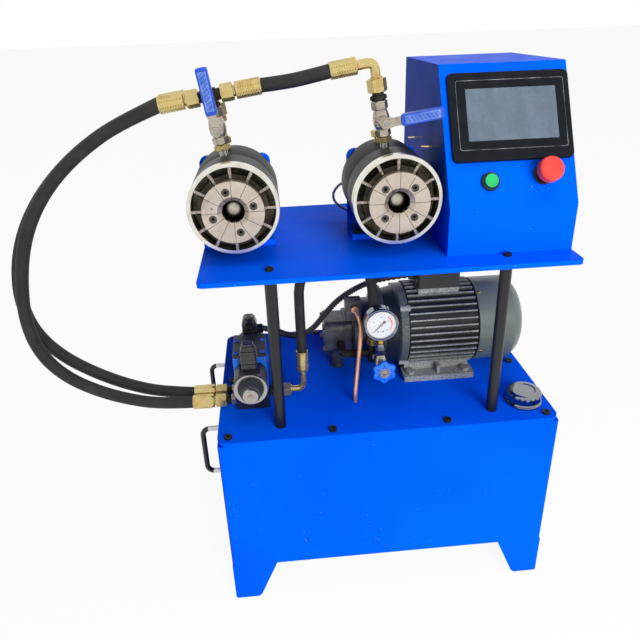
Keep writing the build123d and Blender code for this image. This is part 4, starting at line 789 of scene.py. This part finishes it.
joint = Piece("tee_piece")
joint.milled(tee, rounded(21, 21, 5), -10.5, 10.5, OXIDE)
for axis, reach in ((tee.to_3x3() @ RIGHT, TEE_REACH), (tee.to_3x3() @ LEFTWARD, TEE_REACH),
                    (tee.to_3x3() @ -UP, 18)):
    joint.turned(place(tee @ Vector(), axis, BACK), [(9, 8), (9, reach - 0.5), (8.4, reach)], OXIDE)
joint.nut(column("left", 150, PORT_A), 11.6, 0, 6.5, OXIDE)
joint.done("frame", "black_oxide_steel", "hydraulic_adapters", bevel=0.8)

joint = Piece("right_top_adapter")
joint.nut(column("right", 150, PORT_A), 12, 0, 7.4, OXIDE)
joint.turned(column("right", 150, PORT_A), [(9.5, 7), (9.5, 12)], OXIDE)
joint.done("frame", "black_oxide_steel", "hydraulic_adapters")

joint = Piece("manifold_adapters")
for y in HOSE_PORTS.values():
    port = place(at(PORT_X0, y, PORT_Z), LEFTWARD, UP)
    joint.nut(port, 10, 1.5, 10.5, NICKEL)
    joint.turned(port, [(8.6, 0), (8.6, 2)], OXIDE)
    joint.turned(port, [(8, 10), (8, 12), (6.9, 12.6), (6.9, 14), (8, 14.6), (8, 19)], OXIDE)
port = place(at(PORT_X1, 137, PORT_Z + 1), RIGHT, UP)
joint.nut(port, 10, 0.5, 11, OXIDE)
joint.turned(port, [(8, 10), (8, 24)], OXIDE)
joint.done("frame", "nickel_plate", "hydraulic_adapters")

left_port, right_port = (at(x, PORT_B, HEAD_Z - 73) for x in HEADS.values())
left_low, right_low = (at(x, PORT_B, 655) for x in HEADS.values())
metal_pipe("return_pipe", [
    left_port, left_low + UP * 36 * MM, left_low + UP * 14 * MM, left_low, left_low + RIGHT * 14 * MM,
    left_low.lerp(right_low, 0.2), left_low.lerp(right_low, 0.8), right_low + LEFTWARD * 14 * MM,
    right_low, right_low + UP * 14 * MM, right_low + UP * 36 * MM, right_port,
], 5, OXIDE, "yellow_zinc", "hydraulic_adapters")

# ---------------------------------------------------------------- ball valves and levers
for side in HEADS:
    body, stem_up = column(side, 0, PORT_A), 119
    valve = Piece(f"{side}_valve_body")
    valve.nut(body, 11.6, 92.6, 104.5, NICKEL, fall=0.8)
    ball_housing = [(10.2, 103.5), (10.6, 105), (12.8, 109), (13.8, 114), (13.9, 120), (13.2, 126),
                    (11.8, 131), (10.6, 134), (10.4, 136)]
    valve.turned(body, ball_housing, NICKEL)
    valve.nut(body, 11.9, 135, 149.6, NICKEL, fall=0.8)
    stem = place(local(column(side, stem_up, PORT_A), 0, 0, 0), FRONTWARD, body.to_3x3() @ Vector((1, 0, 0)))
    valve.turned(stem, [(8.6, 8), (8.6, 17), (8, 18)], NICKEL)
    valve.nut(stem, 7.6, 17.6, 27.4, NICKEL)
    # raised cast ring and bars on the flank of the body
    badge = stem @ Matrix.Rotation(radians(-38), 4, "Y")
    valve.turned(badge, [(5.2, 12), (5.2, 14.3), (3.9, 14.3), (3.9, 12), (5.2, 12)], NICKEL, steps=24)
    for lift in (-7.5, 7.5):
        valve.milled(badge @ Matrix.Translation((0, lift, 0)), rounded(7, 1.8, 0.8), 11, 13.9, NICKEL)
    valve.done("frame", "nickel_plate", "ball_valves", bevel=0.3)

    along = body.to_3x3() @ (Vector((0, 0, 1)) if side == "left" else Vector((1, 0, 0)))
    along.normalize()
    hub = local(column(side, stem_up, 104), 0, 0, 0)
    lever_face = place(hub, FRONTWARD, along.cross(FRONTWARD))
    lever = Piece(f"{side}_lever_strap")
    strap = [(9 * cos(a), 9 * sin(a)) for a in [pi + pi * i / 16 for i in range(17)]]
    strap += [(7.5, 9), (6.8, 13), (6.8, 30), (-6.8, 30), (-6.8, 13), (-7.5, 9)]
    lever.milled(lever_face, strap, 0, 3, NICKEL)
    lever.nut(lever_face, 6.5, 3, 7, NICKEL)
    lever.turned(lever_face, [(3.9, 6.5), (3.9, 8.6), (3.3, 9.2)], SILVER, steps=24)
    lever.turned(lever_face, [(4.05, -30), (4.05, 1)], NICKEL, steps=24)
    lever.done(f"{side}_valve_lever", "lever_grip", f"{side}_valve_lever", bevel=0.4)

    # dipped grip over a folded strap: a broad front with a hatched panel, and a narrow flange turned back
    grip = Piece(f"{side}_lever_grip")
    middle = lever_face @ Matrix.Translation((0, 58.5, 0))
    outline = rounded(18, 69, 4.5, 8)
    sections = ((0.90, -2.5), (0.98, -1.8), (1.0, -0.6), (1.0, 4.2), (0.975, 5.1), (0.92, 5.5))
    grip.skin(middle, [[(x * k, y * (1 - (1 - k) * 0.3), z) for x, y in outline] for k, z in sections], VINYL)
    flange = 1 if side == "left" else -1
    edge = lever_face @ Matrix.Translation((flange * 7.4, 60, -1.5))
    grip.milled(edge, rounded(3.2, 64, 1.4), -5.5, 2, VINYL)
    grip.milled(middle, rounded(12.4, 58, 2), 5.2, 5.6, RUBBED)
    for step in range(26):
        rib = middle @ Matrix.Translation((0, -26 + step * 2.08, 5.6)) @ Matrix.Rotation(radians(32), 4, "Z")
        grip.milled(rib, rounded(11.4, 0.9, 0.4, 2), -0.3, 0.25, VINYL if step % 3 else RUBBED)
    for lift in (-29, 29):
        grip.milled(middle @ Matrix.Translation((0, lift, 5.5)), rounded(12, 0.9, 0.4, 2), -0.4, 0.4, VINYL)
    grip.done(f"{side}_valve_lever", "lever_grip", f"{side}_valve_lever", bevel=0.3)

# ---------------------------------------------------------------- head barrels, depth stops and the sensor
for side, x in HEADS.items():
    axle = place(at(x, 0, HEAD_Z), BACK, RIGHT)
    barrel = Piece(f"{side}_barrel")
    barrel.turned(axle, [
        (67, 92), (74, 92), (74, 145), (73.4, 145.6), (73.4, 147.2), (73.7, 147.8), (73.7, 233.5),
        (71.5, 235.9), (16, 235.9), (16, 214), (70, 214), (70, 128), (67, 128), (67, 92),
    ], OXIDE, steps=128)
    barrel.done("frame", "black_oxide_steel", "head_barrels", bevel=0.5)
    stop = Piece(f"{side}_depth_stop")
    dome = [(0, 84), (4, 84.15), (8, 84.7), (11, 85.8), (13, 87.6), (14.2, 90), (14.7, 93)]
    stop.turned(axle, dome + [(14.9, 97), (14.9, 276), (13.2, 278)], ROD, steps=64)
    stop.nut(axle, 23, 246.2, 260, OXIDE)
    stop.done("frame", "bright_steel", "head_barrels", bevel=0.5)

# blackened socket screws, sunk in the faces of four jaws of each head
FIRST_BLADE = {"left": -0.6, "right": 0.1}
for side, numbers in (("left", (3, 6, 9, 12)), ("right", (2, 5, 8, 11))):
    for number in numbers:
        turn = radians(FIRST_BLADE[side] + (number - 0.5) * 30)
        outward = Vector((sin(turn), 0, cos(turn)))
        seat = place(at(HEADS[side], 62, HEAD_Z) + outward * 33.5 * MM, FRONTWARD, outward)
        screw = Piece(f"{side}_jaw_screw_{number:02d}")
        # the black ring at the bottom of the seat is painted shade in the gap around the screw head
        screw.turned(seat, [(6.35, -3.3), (6.35, -2.2), (5.25, -2.2), (5.25, -3.3), (6.35, -3.3)], BLACK)
        hexagon = [(2.6 / cos(a % (tau / 6) - pi / 6), a) for a in [tau * i / 48 for i in range(48)]]
        head = ((5.2, -3), (5.2, -0.8), (4.8, -0.35))
        rings = [[(x, y, height) for x, y in circle(radius)] for radius, height in head]
        rings += [[(r * cos(a), r * sin(a), height) for r, a in hexagon] for height in (-0.35, -3)]
        screw.skin(seat, rings, SCREW)
        screw.done(f"{side}_jaw_{number:02d}", "black_oxide_steel", bevel=0.08)

sensor = Piece("position_sensor")
face = place(at(-24, 246, 772), BACK, RIGHT)
sensor.milled(face, rounded(20, 16, 3), 0, 20, PLASTIC)
sensor.turned(place(at(-33, 258, 772), LEFTWARD, UP), [(4.2, 0), (4.2, 1.5), (3.4, 2.5)], PLASTIC, steps=24)
sensor.done("frame", "black_plastic", "head_barrels")

# ---------------------------------------------------------------- solenoid valve on the manifold
VALVE_X = -245
body = place(at(VALVE_X, 142, 425), UP, RIGHT)
valve = Piece("solenoid_body")
valve.milled(body, rounded(61.6, 83.6, 3), 0, 72, VALVE_BLUE)
valve.milled(body, rounded(61.2, 83, 3), 72, 77.8, COIL)
for x in (-24, 24):
    for y in (-33, 14):
        spot = body @ Matrix.Translation((x, y, 77.6))
        valve.turned(spot, [(4.4, 0), (4.4, 1.6), (3.6, 2.4), (2.4, 2.4), (2.4, 1), (0, 1)], VALVE_BLUE,
                     steps=24)
valve.done("frame", "black_plastic", "solenoid_valve", bevel=0.8)

COILS = {"front": (FRONTWARD, 100, 83, 1), "rear": (BACK, 184, 201, -1)}
for end, (outward, face_y, plug_y, lift) in COILS.items():
    coil = Piece(f"{end}_coil")
    where = place(at(VALVE_X, face_y, 456), outward, RIGHT)
    shoulder = 30 * lift
    outline = [(30 * cos(a), -30 * sin(a) * lift) for a in [pi * i / 24 for i in range(25)]]
    outline += [(-30, 6 * lift), (-29.4, 14 * lift), (-26, 22 * lift), (-19, shoulder)]
    outline += [(19, shoulder), (26, 22 * lift), (29.4, 14 * lift), (30, 6 * lift)]
    coil.milled(where, outline, 0, 42, COIL)
    washer = [(21, 41), (29.4, 41), (30.4, 42), (30.4, 44.2), (29.8, 45), (23, 45), (22, 44.4), (21, 41)]
    coil.turned(where, washer, SILVER, steps=96)
    rings = []
    for radius, height in ((22, 40), (22, 46), (21, 49), (19, 54), (18.4, 58), (17.4, 60.5), (15, 62)):
        ridge = 0.6 if height > 45 else 0.0
        ridged = [(radius + ridge * sin(30 * a), a) for a in [tau * i / 180 for i in range(180)]]
        rings.append([(r * cos(a), r * sin(a), height) for r, a in ridged])
    coil.skin(where, rings, COIL)
    knob = [(14, 61), (14, 66.5), (13.4, 67.6), (5.2, 68), (4.2, 66.8), (2.4, 66.4), (2.2, 67.6), (0, 67.8)]
    coil.turned(where, knob, SILVER, steps=64)
    coil.turned(where, [(2.0, 67.4), (2.0, 67.9), (0, 68)], COPPER, steps=20)
    coil.done("frame", "black_plastic", "solenoid_valve", bevel=0.7)

    plug = Piece(f"{end}_plug")
    foot = place(at(VALVE_X, plug_y, 489 if end == "front" else 486), UP, RIGHT)
    plug.milled(foot, rounded(26, 29, 3), 0, 11, GLOSS)
    plug.milled(foot, rounded(27.5, 30.5, 3), 3, 6, GLOSS)
    plug.milled(foot, rounded(28.6, 28.6, 4), 12, 36, GLOSS, draw=0.97)
    plug.milled(foot, rounded(26.5, 26.5, 5), 36.6, 44.6, GLOSS, draw=0.86)
    plug.milled(foot, rounded(20, 20, 5), 44.4, 48.5, GLOSS, draw=0.9)
    plug.turned(foot, [(4.6, 48), (4.6, 49.2), (2.6, 49.2), (2.6, 48.4), (0, 48.4)], DARK, steps=24)
    for drop in (19, 30):
        plug.milled(foot @ Matrix.Translation((0, 0, drop)), rounded(29.3, 29.3, 4.4), 0, 1.2, GLOSS)
    if end == "rear":
        eye = place(at(VALVE_X, plug_y - 14, 521), FRONTWARD, RIGHT)
        plug.turned(eye, [(9.4, -2), (9.4, 3), (8.4, 4), (6, 4), (5.4, 1.6), (0, 1.6)], GLOSS, steps=40)
        gland = place(at(VALVE_X + 12, plug_y, 505), RIGHT, UP)
        plug.nut(gland, 9, 2, 14, GLOSS)
        plug.turned(gland, [(10, 0), (10, 3)], GLOSS)
    plug.done("frame", "black_plastic", "solenoid_valve", bevel=0.7)

# ---------------------------------------------------------------- pressure gauge and its needle valve
GAUGE = (2.6, 122, 532)
dial_at = place(at(*GAUGE), FRONTWARD, RIGHT)
gauge = Piece("gauge_case")
gauge.turned(dial_at, [
    (0, -28), (29.5, -28), (31, -26.5), (31, -10.6), (32.3, -10), (33, -8.8), (33, -3), (32.3, -0.9), (31, 0),
    (29.4, -0.5), (28.4, -1.9), (27.6, -2.2), (27.4, -5), (0, -5),
], CHROME, steps=96)
gauge.turned(dial_at, [(0, -5), (27.3, -5), (27.3, -4.6), (0, -4.6)], DIAL, steps=96)
gauge.turned(dial_at, [(27.8, -2.1), (27.8, -1.5), (0, -1.5), (0, -2.1)], GLASS, steps=96)
gauge.done("frame", "chrome_plate", "pressure_gauge", bevel=0.1)

marks = Piece("gauge_markings")
for step in range(61):
    angle = radians(225 + step * 4.5)
    toward = dial_at @ Matrix.Rotation(-angle, 4, "Z")
    long = step % 5 == 0
    tick = rounded(0.45, 3.0, 0.1, 1) if long else rounded(0.25, 2.0, 0.1, 1)
    marks.milled(toward @ Matrix.Translation((0, 24.2 if long else 24.7, 0)), tick, -4.6, -4.5, RED)
    if step % 3 == 0:
        marks.milled(toward @ Matrix.Translation((0, 21.8, 0)), rounded(0.35, 1.8, 0.1, 1), -4.6, -4.5,
                     PLASTIC)
arc = [radians(37 + i * 92 / 32) for i in range(33)]
band = [(20.9 * sin(a), 20.9 * cos(a)) for a in arc]
band += [((18.4 + 1.4 * i / 32) * sin(a), (18.4 + 1.4 * i / 32) * cos(a)) for i, a in enumerate(arc)][::-1]
marks.milled(dial_at, band, -4.6, -4.45, RED)
for x in (-6, 3.2):
    marks.turned(dial_at @ Matrix.Translation((x, -14, 0)), [(1.5, -4.6), (1.5, -4.3), (0, -4.2)], PLASTIC,
                 steps=20)
marks.done("frame", "black_plastic", bevel=0.02)

for index, number in enumerate((0, 15, 30, 45, 60)):
    angle = radians(225 + index * 67.5)
    text = bpy.data.curves.new(f"dial_number_{number}", "FONT")
    text.body, text.size = str(number), 4.6
    text.align_x, text.align_y = "CENTER", "CENTER"
    source = bpy.data.objects.new("number", text)
    bpy.context.scene.collection.objects.link(source)
    flat = bpy.data.meshes.new_from_object(source)
    flat.transform(dial_at @ Matrix.Translation((15.6 * sin(angle), 15.6 * cos(angle), -4.45)))
    flat.materials.clear()
    flat.materials.append(PLASTIC)
    bpy.data.objects.remove(source)
    number_piece = bpy.data.objects.new(f"dial_number_{number}", flat)
    bpy.context.scene.collection.objects.link(number_piece)
    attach(number_piece, "frame")

pointing = Vector((sin(radians(225)), 0, cos(radians(225))))
needle_at = place(at(GAUGE[0], GAUGE[1] + 3, GAUGE[2]), FRONTWARD, pointing.cross(FRONTWARD))
needle = Piece("needle")
needle.milled(needle_at, [
    (-2.4, -10.4), (2.4, -10.4), (3, -8.4), (0.9, -4.6), (1.2, 0), (0.3, 21.4),
    (-0.3, 21.4), (-1.2, 0), (-0.9, -4.6), (-3, -8.4),
], -0.1, 0.5, BLACK)
needle.turned(needle_at, [(2.7, -0.1), (2.7, 0.9), (1.2, 1.2), (0, 1.2)], SILVER, steps=32)
needle.done("gauge_needle", "black_paint", "gauge_needle", bevel=0.05)

stem = place(at(GAUGE[0], 136, 466), UP, RIGHT)
fittings = Piece("gauge_fittings")
fittings.nut(stem, 7.2, 24, 34, BRASS)
fittings.turned(stem, [(5.6, 33), (5.6, 37)], BRASS)
fittings.nut(stem, 8.5, 0, 23.6, SILVER)
fittings.turned(stem, [(9.2, 10.6), (9.2, 13)], SILVER)
fittings.milled(stem, rounded(21, 25, 5), -27.8, -9, NICKEL)
fittings.milled(stem, rounded(21, 25, 5), -9, -0.2, NICKEL, draw=0.72)
gland_nut = place(at(4, 123, 447), FRONTWARD, RIGHT)
fittings.nut(gland_nut, 8.5, 0, 8, NICKEL)
fittings.turned(gland_nut, [(6.5, 7.5), (6.5, 12)], NICKEL)
fittings.turned(place(at(-4, 148, 452), BACK, RIGHT), [(7, 0), (7, 5)], NICKEL)
fittings.done("frame", "nickel_plate", "pressure_gauge", bevel=0.5)

block = Piece("outlet_block")
block.milled(place(at(-6, 163, 438), UP, RIGHT), rounded(20.6, 20.6, 3), 0, 36, OXIDE)
block.done("frame", "black_oxide_steel", "pressure_gauge", bevel=0.5)
outlet_from, outlet_turn, outlet_to = at(-16, 163, 455), at(-66, 163, 455), at(-66, 207, 455)
metal_pipe("outlet_elbow", elbow_points(outlet_from, outlet_turn, outlet_to, 0.4), 7.8, OXIDE,
           "black_oxide_steel", "pressure_gauge")

wheel = place(at(4, 98, 447), FRONTWARD, RIGHT)
centre = Piece("handwheel_centre")
disc = [(10.4, 3.6), (10.4, 6), (9.8, 6.6), (7.4, 6.5), (6.9, 5.9), (3.4, 5.9), (3, 6.4), (0, 6.4)]
centre.turned(wheel, disc, SILVER, steps=64)
# painted shade: dark dashes around the silver centre stand for the shade in its dents
for step in range(18):
    dent_shade_mark = wheel @ Matrix.Rotation(tau * step / 18, 4, "Z") @ Matrix.Translation((8.6, 0, 6.5))
    centre.milled(dent_shade_mark, rounded(1.6, 0.5, 0.2, 1), 0, 0.25, DARK)
centre.turned(wheel, [(2.6, 6.2), (2.4, 7.2), (1.2, 7.9), (0, 7.9)], BRASS, steps=32)
centre.done("gauge_handwheel", "chrome_plate", bevel=0.15)
rim = Piece("handwheel")
lobes = [(21.3 + 2.2 * cos(6 * (a - tau / 4)), a) for a in [tau * i / 144 for i in range(144)]]
rings = []
for shrink, lift in ((2.2, -5), (0.6, -4.2), (0, -2.4), (0, 1), (0.7, 2.8), (2.4, 3.8), (8.5, 4)):
    rings.append([((r - shrink) * cos(a), (r - shrink) * sin(a), lift) for r, a in lobes])
rim.skin(wheel, rings, WHEEL_BLUE)
# painted shade: a flat black triangle on each lobe stands for the shade in its notch
for step in range(6):
    notch_shade_mark = wheel @ Matrix.Rotation(tau * step / 6, 4, "Z") @ Matrix.Translation((0, 14.6, 0))
    rim.milled(notch_shade_mark, [(-2.1, -1.5), (2.1, -1.5), (0, 2)], 3.4, 4.06, PLASTIC)
rim.turned(wheel, [(8, -10), (8, -4)], WHEEL_BLUE)
rim.turned(wheel, [(4, -34), (4, -9)], SILVER, steps=24)
rim.done("gauge_handwheel", "black_plastic", "gauge_handwheel", bevel=0.1)

# ---------------------------------------------------------------- touch panel and button collars
SLOPE = Vector((0, 113.8, 208.5)).normalized()
OUTWARD = RIGHT.cross(SLOPE)


def on_slope(x, up):
    """A place on the cabinet's slanted face: across from the middle, and up the slope from its fold."""
    return place(at(x, 53.7, 766) + SLOPE * up * MM, OUTWARD, RIGHT)


panel = on_slope(208, 147)
screen = Piece("touch_panel")
rings = []
outside = ((200, 146, 9, 0), (200, 146, 9, 5), (199, 145, 8.6, 6.3), (197, 143, 7.8, 7))
for width, height, radius, lift in outside:
    rings.append([(x, y, lift) for x, y in rounded(width, height, radius, 8)])
for width, height, radius, lift in ((151, 88, 2, 7), (149, 86, 1, 6.2)):
    rings.append([(x + 2.5, y + 3, lift) for x, y in rounded(width, height, radius, 8)])
screen.skin(panel, rings, BEZEL)
# a thin raised line around the screen, coloured pale as the painted highlight of the bezel's groove
screen.milled(panel @ Matrix.Translation((1.5, 2.5, 0)), rounded(178, 114, 4), 6.9, 7.3, BEZEL_BEAD_HIGHLIGHT,
              hole=rounded(176.4, 112.4, 3.6))
screen.milled(panel @ Matrix.Translation((2.5, 3, 0)), rounded(148.6, 85.6, 1), 6, 6.4, SCREEN)
screen.done("frame", "screen_bezel", "touch_screen", bevel=0.3)

collars = Piece("button_collars")
start_ring = [(11.4, 0), (15.3, 0), (15.3, 3.4), (14.6, 5.4), (13, 6.2), (11.5, 6), (11.4, 0)]
stop_ring = [(11.4, 0), (17.4, 0), (17.2, 2.6), (16.4, 3.3), (11.4, 3.3), (11.4, 0)]
collars.turned(on_slope(167, 42), start_ring, PLASTIC, steps=64)
collars.turned(on_slope(256, 50), stop_ring, PLASTIC, steps=64)
collars.done("frame", "black_plastic", bevel=0.2)

# painted light and shade: each slot is a dark strip for the shade inside it, with brass and pale strips for
# light seen through it
slot_light_and_shade = Piece("cabinet_slots_painted_light_and_shade")
for y, z in ((311, 837), (196, 840)):
    slot = place(at(98, y, z), LEFTWARD, Vector((0, -0.986, 0.17)))
    slot_light_and_shade.milled(slot, rounded(132, 1.8, 0.8), -1, 0.1, OXIDE)
    slot_light_and_shade.milled(slot @ Matrix.Translation((-34, 0, 0)), rounded(60, 2.4, 1.1), -1, 0.3, BRASS)
    slot_light_and_shade.milled(slot @ Matrix.Translation((3, 0, 0)), rounded(17, 3.4, 1.4), -1, 0.5, DIAL)
slot_light_and_shade.done("frame", "yellow_zinc", bevel=0.1)
filler_strips = Piece("cabinet_filler_strips")
for y, z in ((309, 838), (196, 840)):
    filler_strips.milled(place(at(98, y, z), LEFTWARD, UP), rounded(99.6, 2.9, 1.4), -1.4, 0.02, BLUE)
filler_strips.done("frame", "blue_paint", bevel=0.02)

# ---------------------------------------------------------------- fan cowl screws
axle = place(at(212, MOTOR_Y, MOTOR_Z), RIGHT, BACK)
screws = Piece("cowl_screws")
for turn in (118, 205, 298, 25):
    angle = radians(turn)
    spot = local(axle, 85.6 * cos(angle), 85.6 * sin(angle), 0)
    out = (spot - local(axle, 0, 0, 0)).normalized()
    screws.turned(place(spot, out, RIGHT), [(3.4, -1), (3.4, 1.6), (2.4, 2.6), (0, 2.9)], BRASS, steps=24)
screws.done("frame", "dark_steel", bevel=0.1)

# ---------------------------------------------------------------- corrugated conduit and the sensor's lead
CONDUIT = [
    at(-219, 201, 505), at(-197, 202, 500), at(-175, 206, 484), at(-147, 212, 477), at(-119, 219, 487),
    at(-96, 226, 513), at(-66, 233, 542), at(-25, 239, 564), at(20, 244, 577), at(78, 246, 580),
]
LEAD = [
    at(-34, 258, 772), at(-48, 259, 771), at(-61, 261, 762), at(-69, 264, 747), at(-65, 268, 731),
    at(-52, 272, 719), at(-34, 277, 708), at(-10, 283, 697), at(18, 288, 691), at(46, 291, 690.5),
    at(70, 292, 693.5), at(88, 292, 697),
]
line = hose_line("conduit_line", CONDUIT, 0)
line.data.splines[0].resolution_u = 32
line.data.use_fill_caps = False
threads = bpy.data.meshes.new_from_object(line)
bpy.data.objects.remove(line)
spots = [vertex.co.copy() for vertex in threads.vertices]
conduit = Piece("corrugated_conduit")
rings = []
for index, spot in enumerate(spots):
    heading = (spots[min(index + 1, len(spots) - 1)] - spots[max(index - 1, 0)]).normalized()
    around = place(spot, heading, UP)
    radius = (6.5, 6.5, 5.1, 5.1)[index % 4]
    rings.append([local(around, x, y, 0) for x, y in circle(radius, 28)])
conduit.skin(Matrix.Identity(4), rings, CONDUIT_BLACK)
conduit = conduit.done("frame", "black_plastic", "cable_conduit", bevel=0.05, angle=80)
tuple(CONDUIT[0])

lead = hose_line("sensor_lead", LEAD, 0.005)
lead.data.materials.append(GREY_LEAD)
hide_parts("cable_conduit")
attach(lead, "frame")
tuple(LEAD[0])

# ---------------------------------------------------------------- floor, light and background
floor_mesh = bpy.data.meshes.new("floor")
FLOOR_REACH = 40
corners = [(x * FLOOR_REACH, y * FLOOR_REACH, 0) for x, y in ((-1, -1), (1, -1), (1, 1), (-1, 1))]
floor_mesh.from_pydata(corners, [], [(0, 1, 2, 3)])
floor = bpy.data.objects.new("floor", floor_mesh)
bpy.context.scene.collection.objects.link(floor)
pale, _ = blank("pale_floor")
kind = add(pale, "LightPath", {})
looked_at = add(pale, "Math", {0: kind.outputs["Is Camera Ray"], 1: kind.outputs["Is Glossy Ray"]},
                operation="MAXIMUM")
looked_at = add(pale, "Math", {0: looked_at, 1: kind.outputs["Is Transmission Ray"]}, operation="MAXIMUM")
share = add(pale, "ValToRGB", {"Fac": looked_at}, stops=((0.0, 0.0), (1.0, 0.93)))
matt = add(pale, "BsdfDiffuse", {"Color": "#F4F4F4"})
glow = add(pale, "Emission", {"Color": "#FFFFFF", "Strength": 1.0})
mixed = add(pale, "MixShader", {0: share, 1: matt, 2: glow})
add(pale, "OutputMaterial", {"Surface": mixed})
floor_mesh.materials.append(pale)

world = bpy.data.worlds.new("studio")
bpy.context.scene.world = world
world.use_nodes = True
world.node_tree.nodes.clear()
sky = add(world, "SeparateXYZ", {0: add(world, "TexCoord", {}).outputs["Generated"]})
overhead = add(world, "ValToRGB", {"Fac": sky.outputs[2]}, stops=((0.0, 0.34), (0.4, 0.22), (0.62, 0.6),
                                                                  (0.85, 1.0)))
side_on = add(world, "Math", {0: sky.outputs[0], 1: 0.5}, operation="ADD")
from_right = add(world, "ValToRGB", {"Fac": side_on}, stops=((0.05, 0.1), (0.5, 0.8), (1.0, 1.0)))
rearward = add(world, "Math", {0: 0.5, 1: sky.outputs[1]}, operation="SUBTRACT")
behind = add(world, "ValToRGB", {"Fac": rearward}, stops=((0.0, 0.3), (0.6, 0.8), (1.0, 1.0)))
soft = add(world, "Mix", {"Factor": 1.0, 6: overhead, 7: from_right}, data_type="RGBA", blend_type="MULTIPLY")
soft = add(world, "Mix", {"Factor": 1.0, 6: soft, 7: behind}, data_type="RGBA", blend_type="MULTIPLY")
rays = add(world, "LightPath", {})
seen = add(world, "Math", {0: rays.outputs["Is Camera Ray"], 1: rays.outputs["Is Glossy Ray"]},
           operation="MAXIMUM")
seen = add(world, "Math", {0: seen, 1: rays.outputs["Is Transmission Ray"]}, operation="MAXIMUM")
sky_light = add(world, "Background", {"Color": soft, "Strength": 0.8})
backdrop = add(world, "Background", {"Color": "#FFFFFF", "Strength": 1.0})
both = add(world, "MixShader", {0: seen, 1: sky_light, 2: backdrop})
add(world, "OutputWorld", {"Surface": both})


def lamp(name, spot, aim, size, power):
    """A soft square lamp at a spot, aimed at a point."""
    light = bpy.data.lights.new(name, "AREA")
    light.shape, light.size, light.energy = "SQUARE", size, power
    holder = bpy.data.objects.new(name, light)
    turn = (Vector(aim) - Vector(spot)).to_track_quat("-Z", "Y").to_matrix().to_4x4()
    holder.matrix_world = Matrix.Translation(spot) @ turn
    holder.visible_glossy = False
    bpy.context.scene.collection.objects.link(holder)


lamp("front_lamp", (0.9, -3.0, 1.5), (0, 0, 0.5), 1.6, 120)
lamp("top_lamp", (0.3, -0.6, 3.2), (0, 0, 0.5), 1.8, 26)

bpy.context.scene.view_settings.view_transform = "Standard"
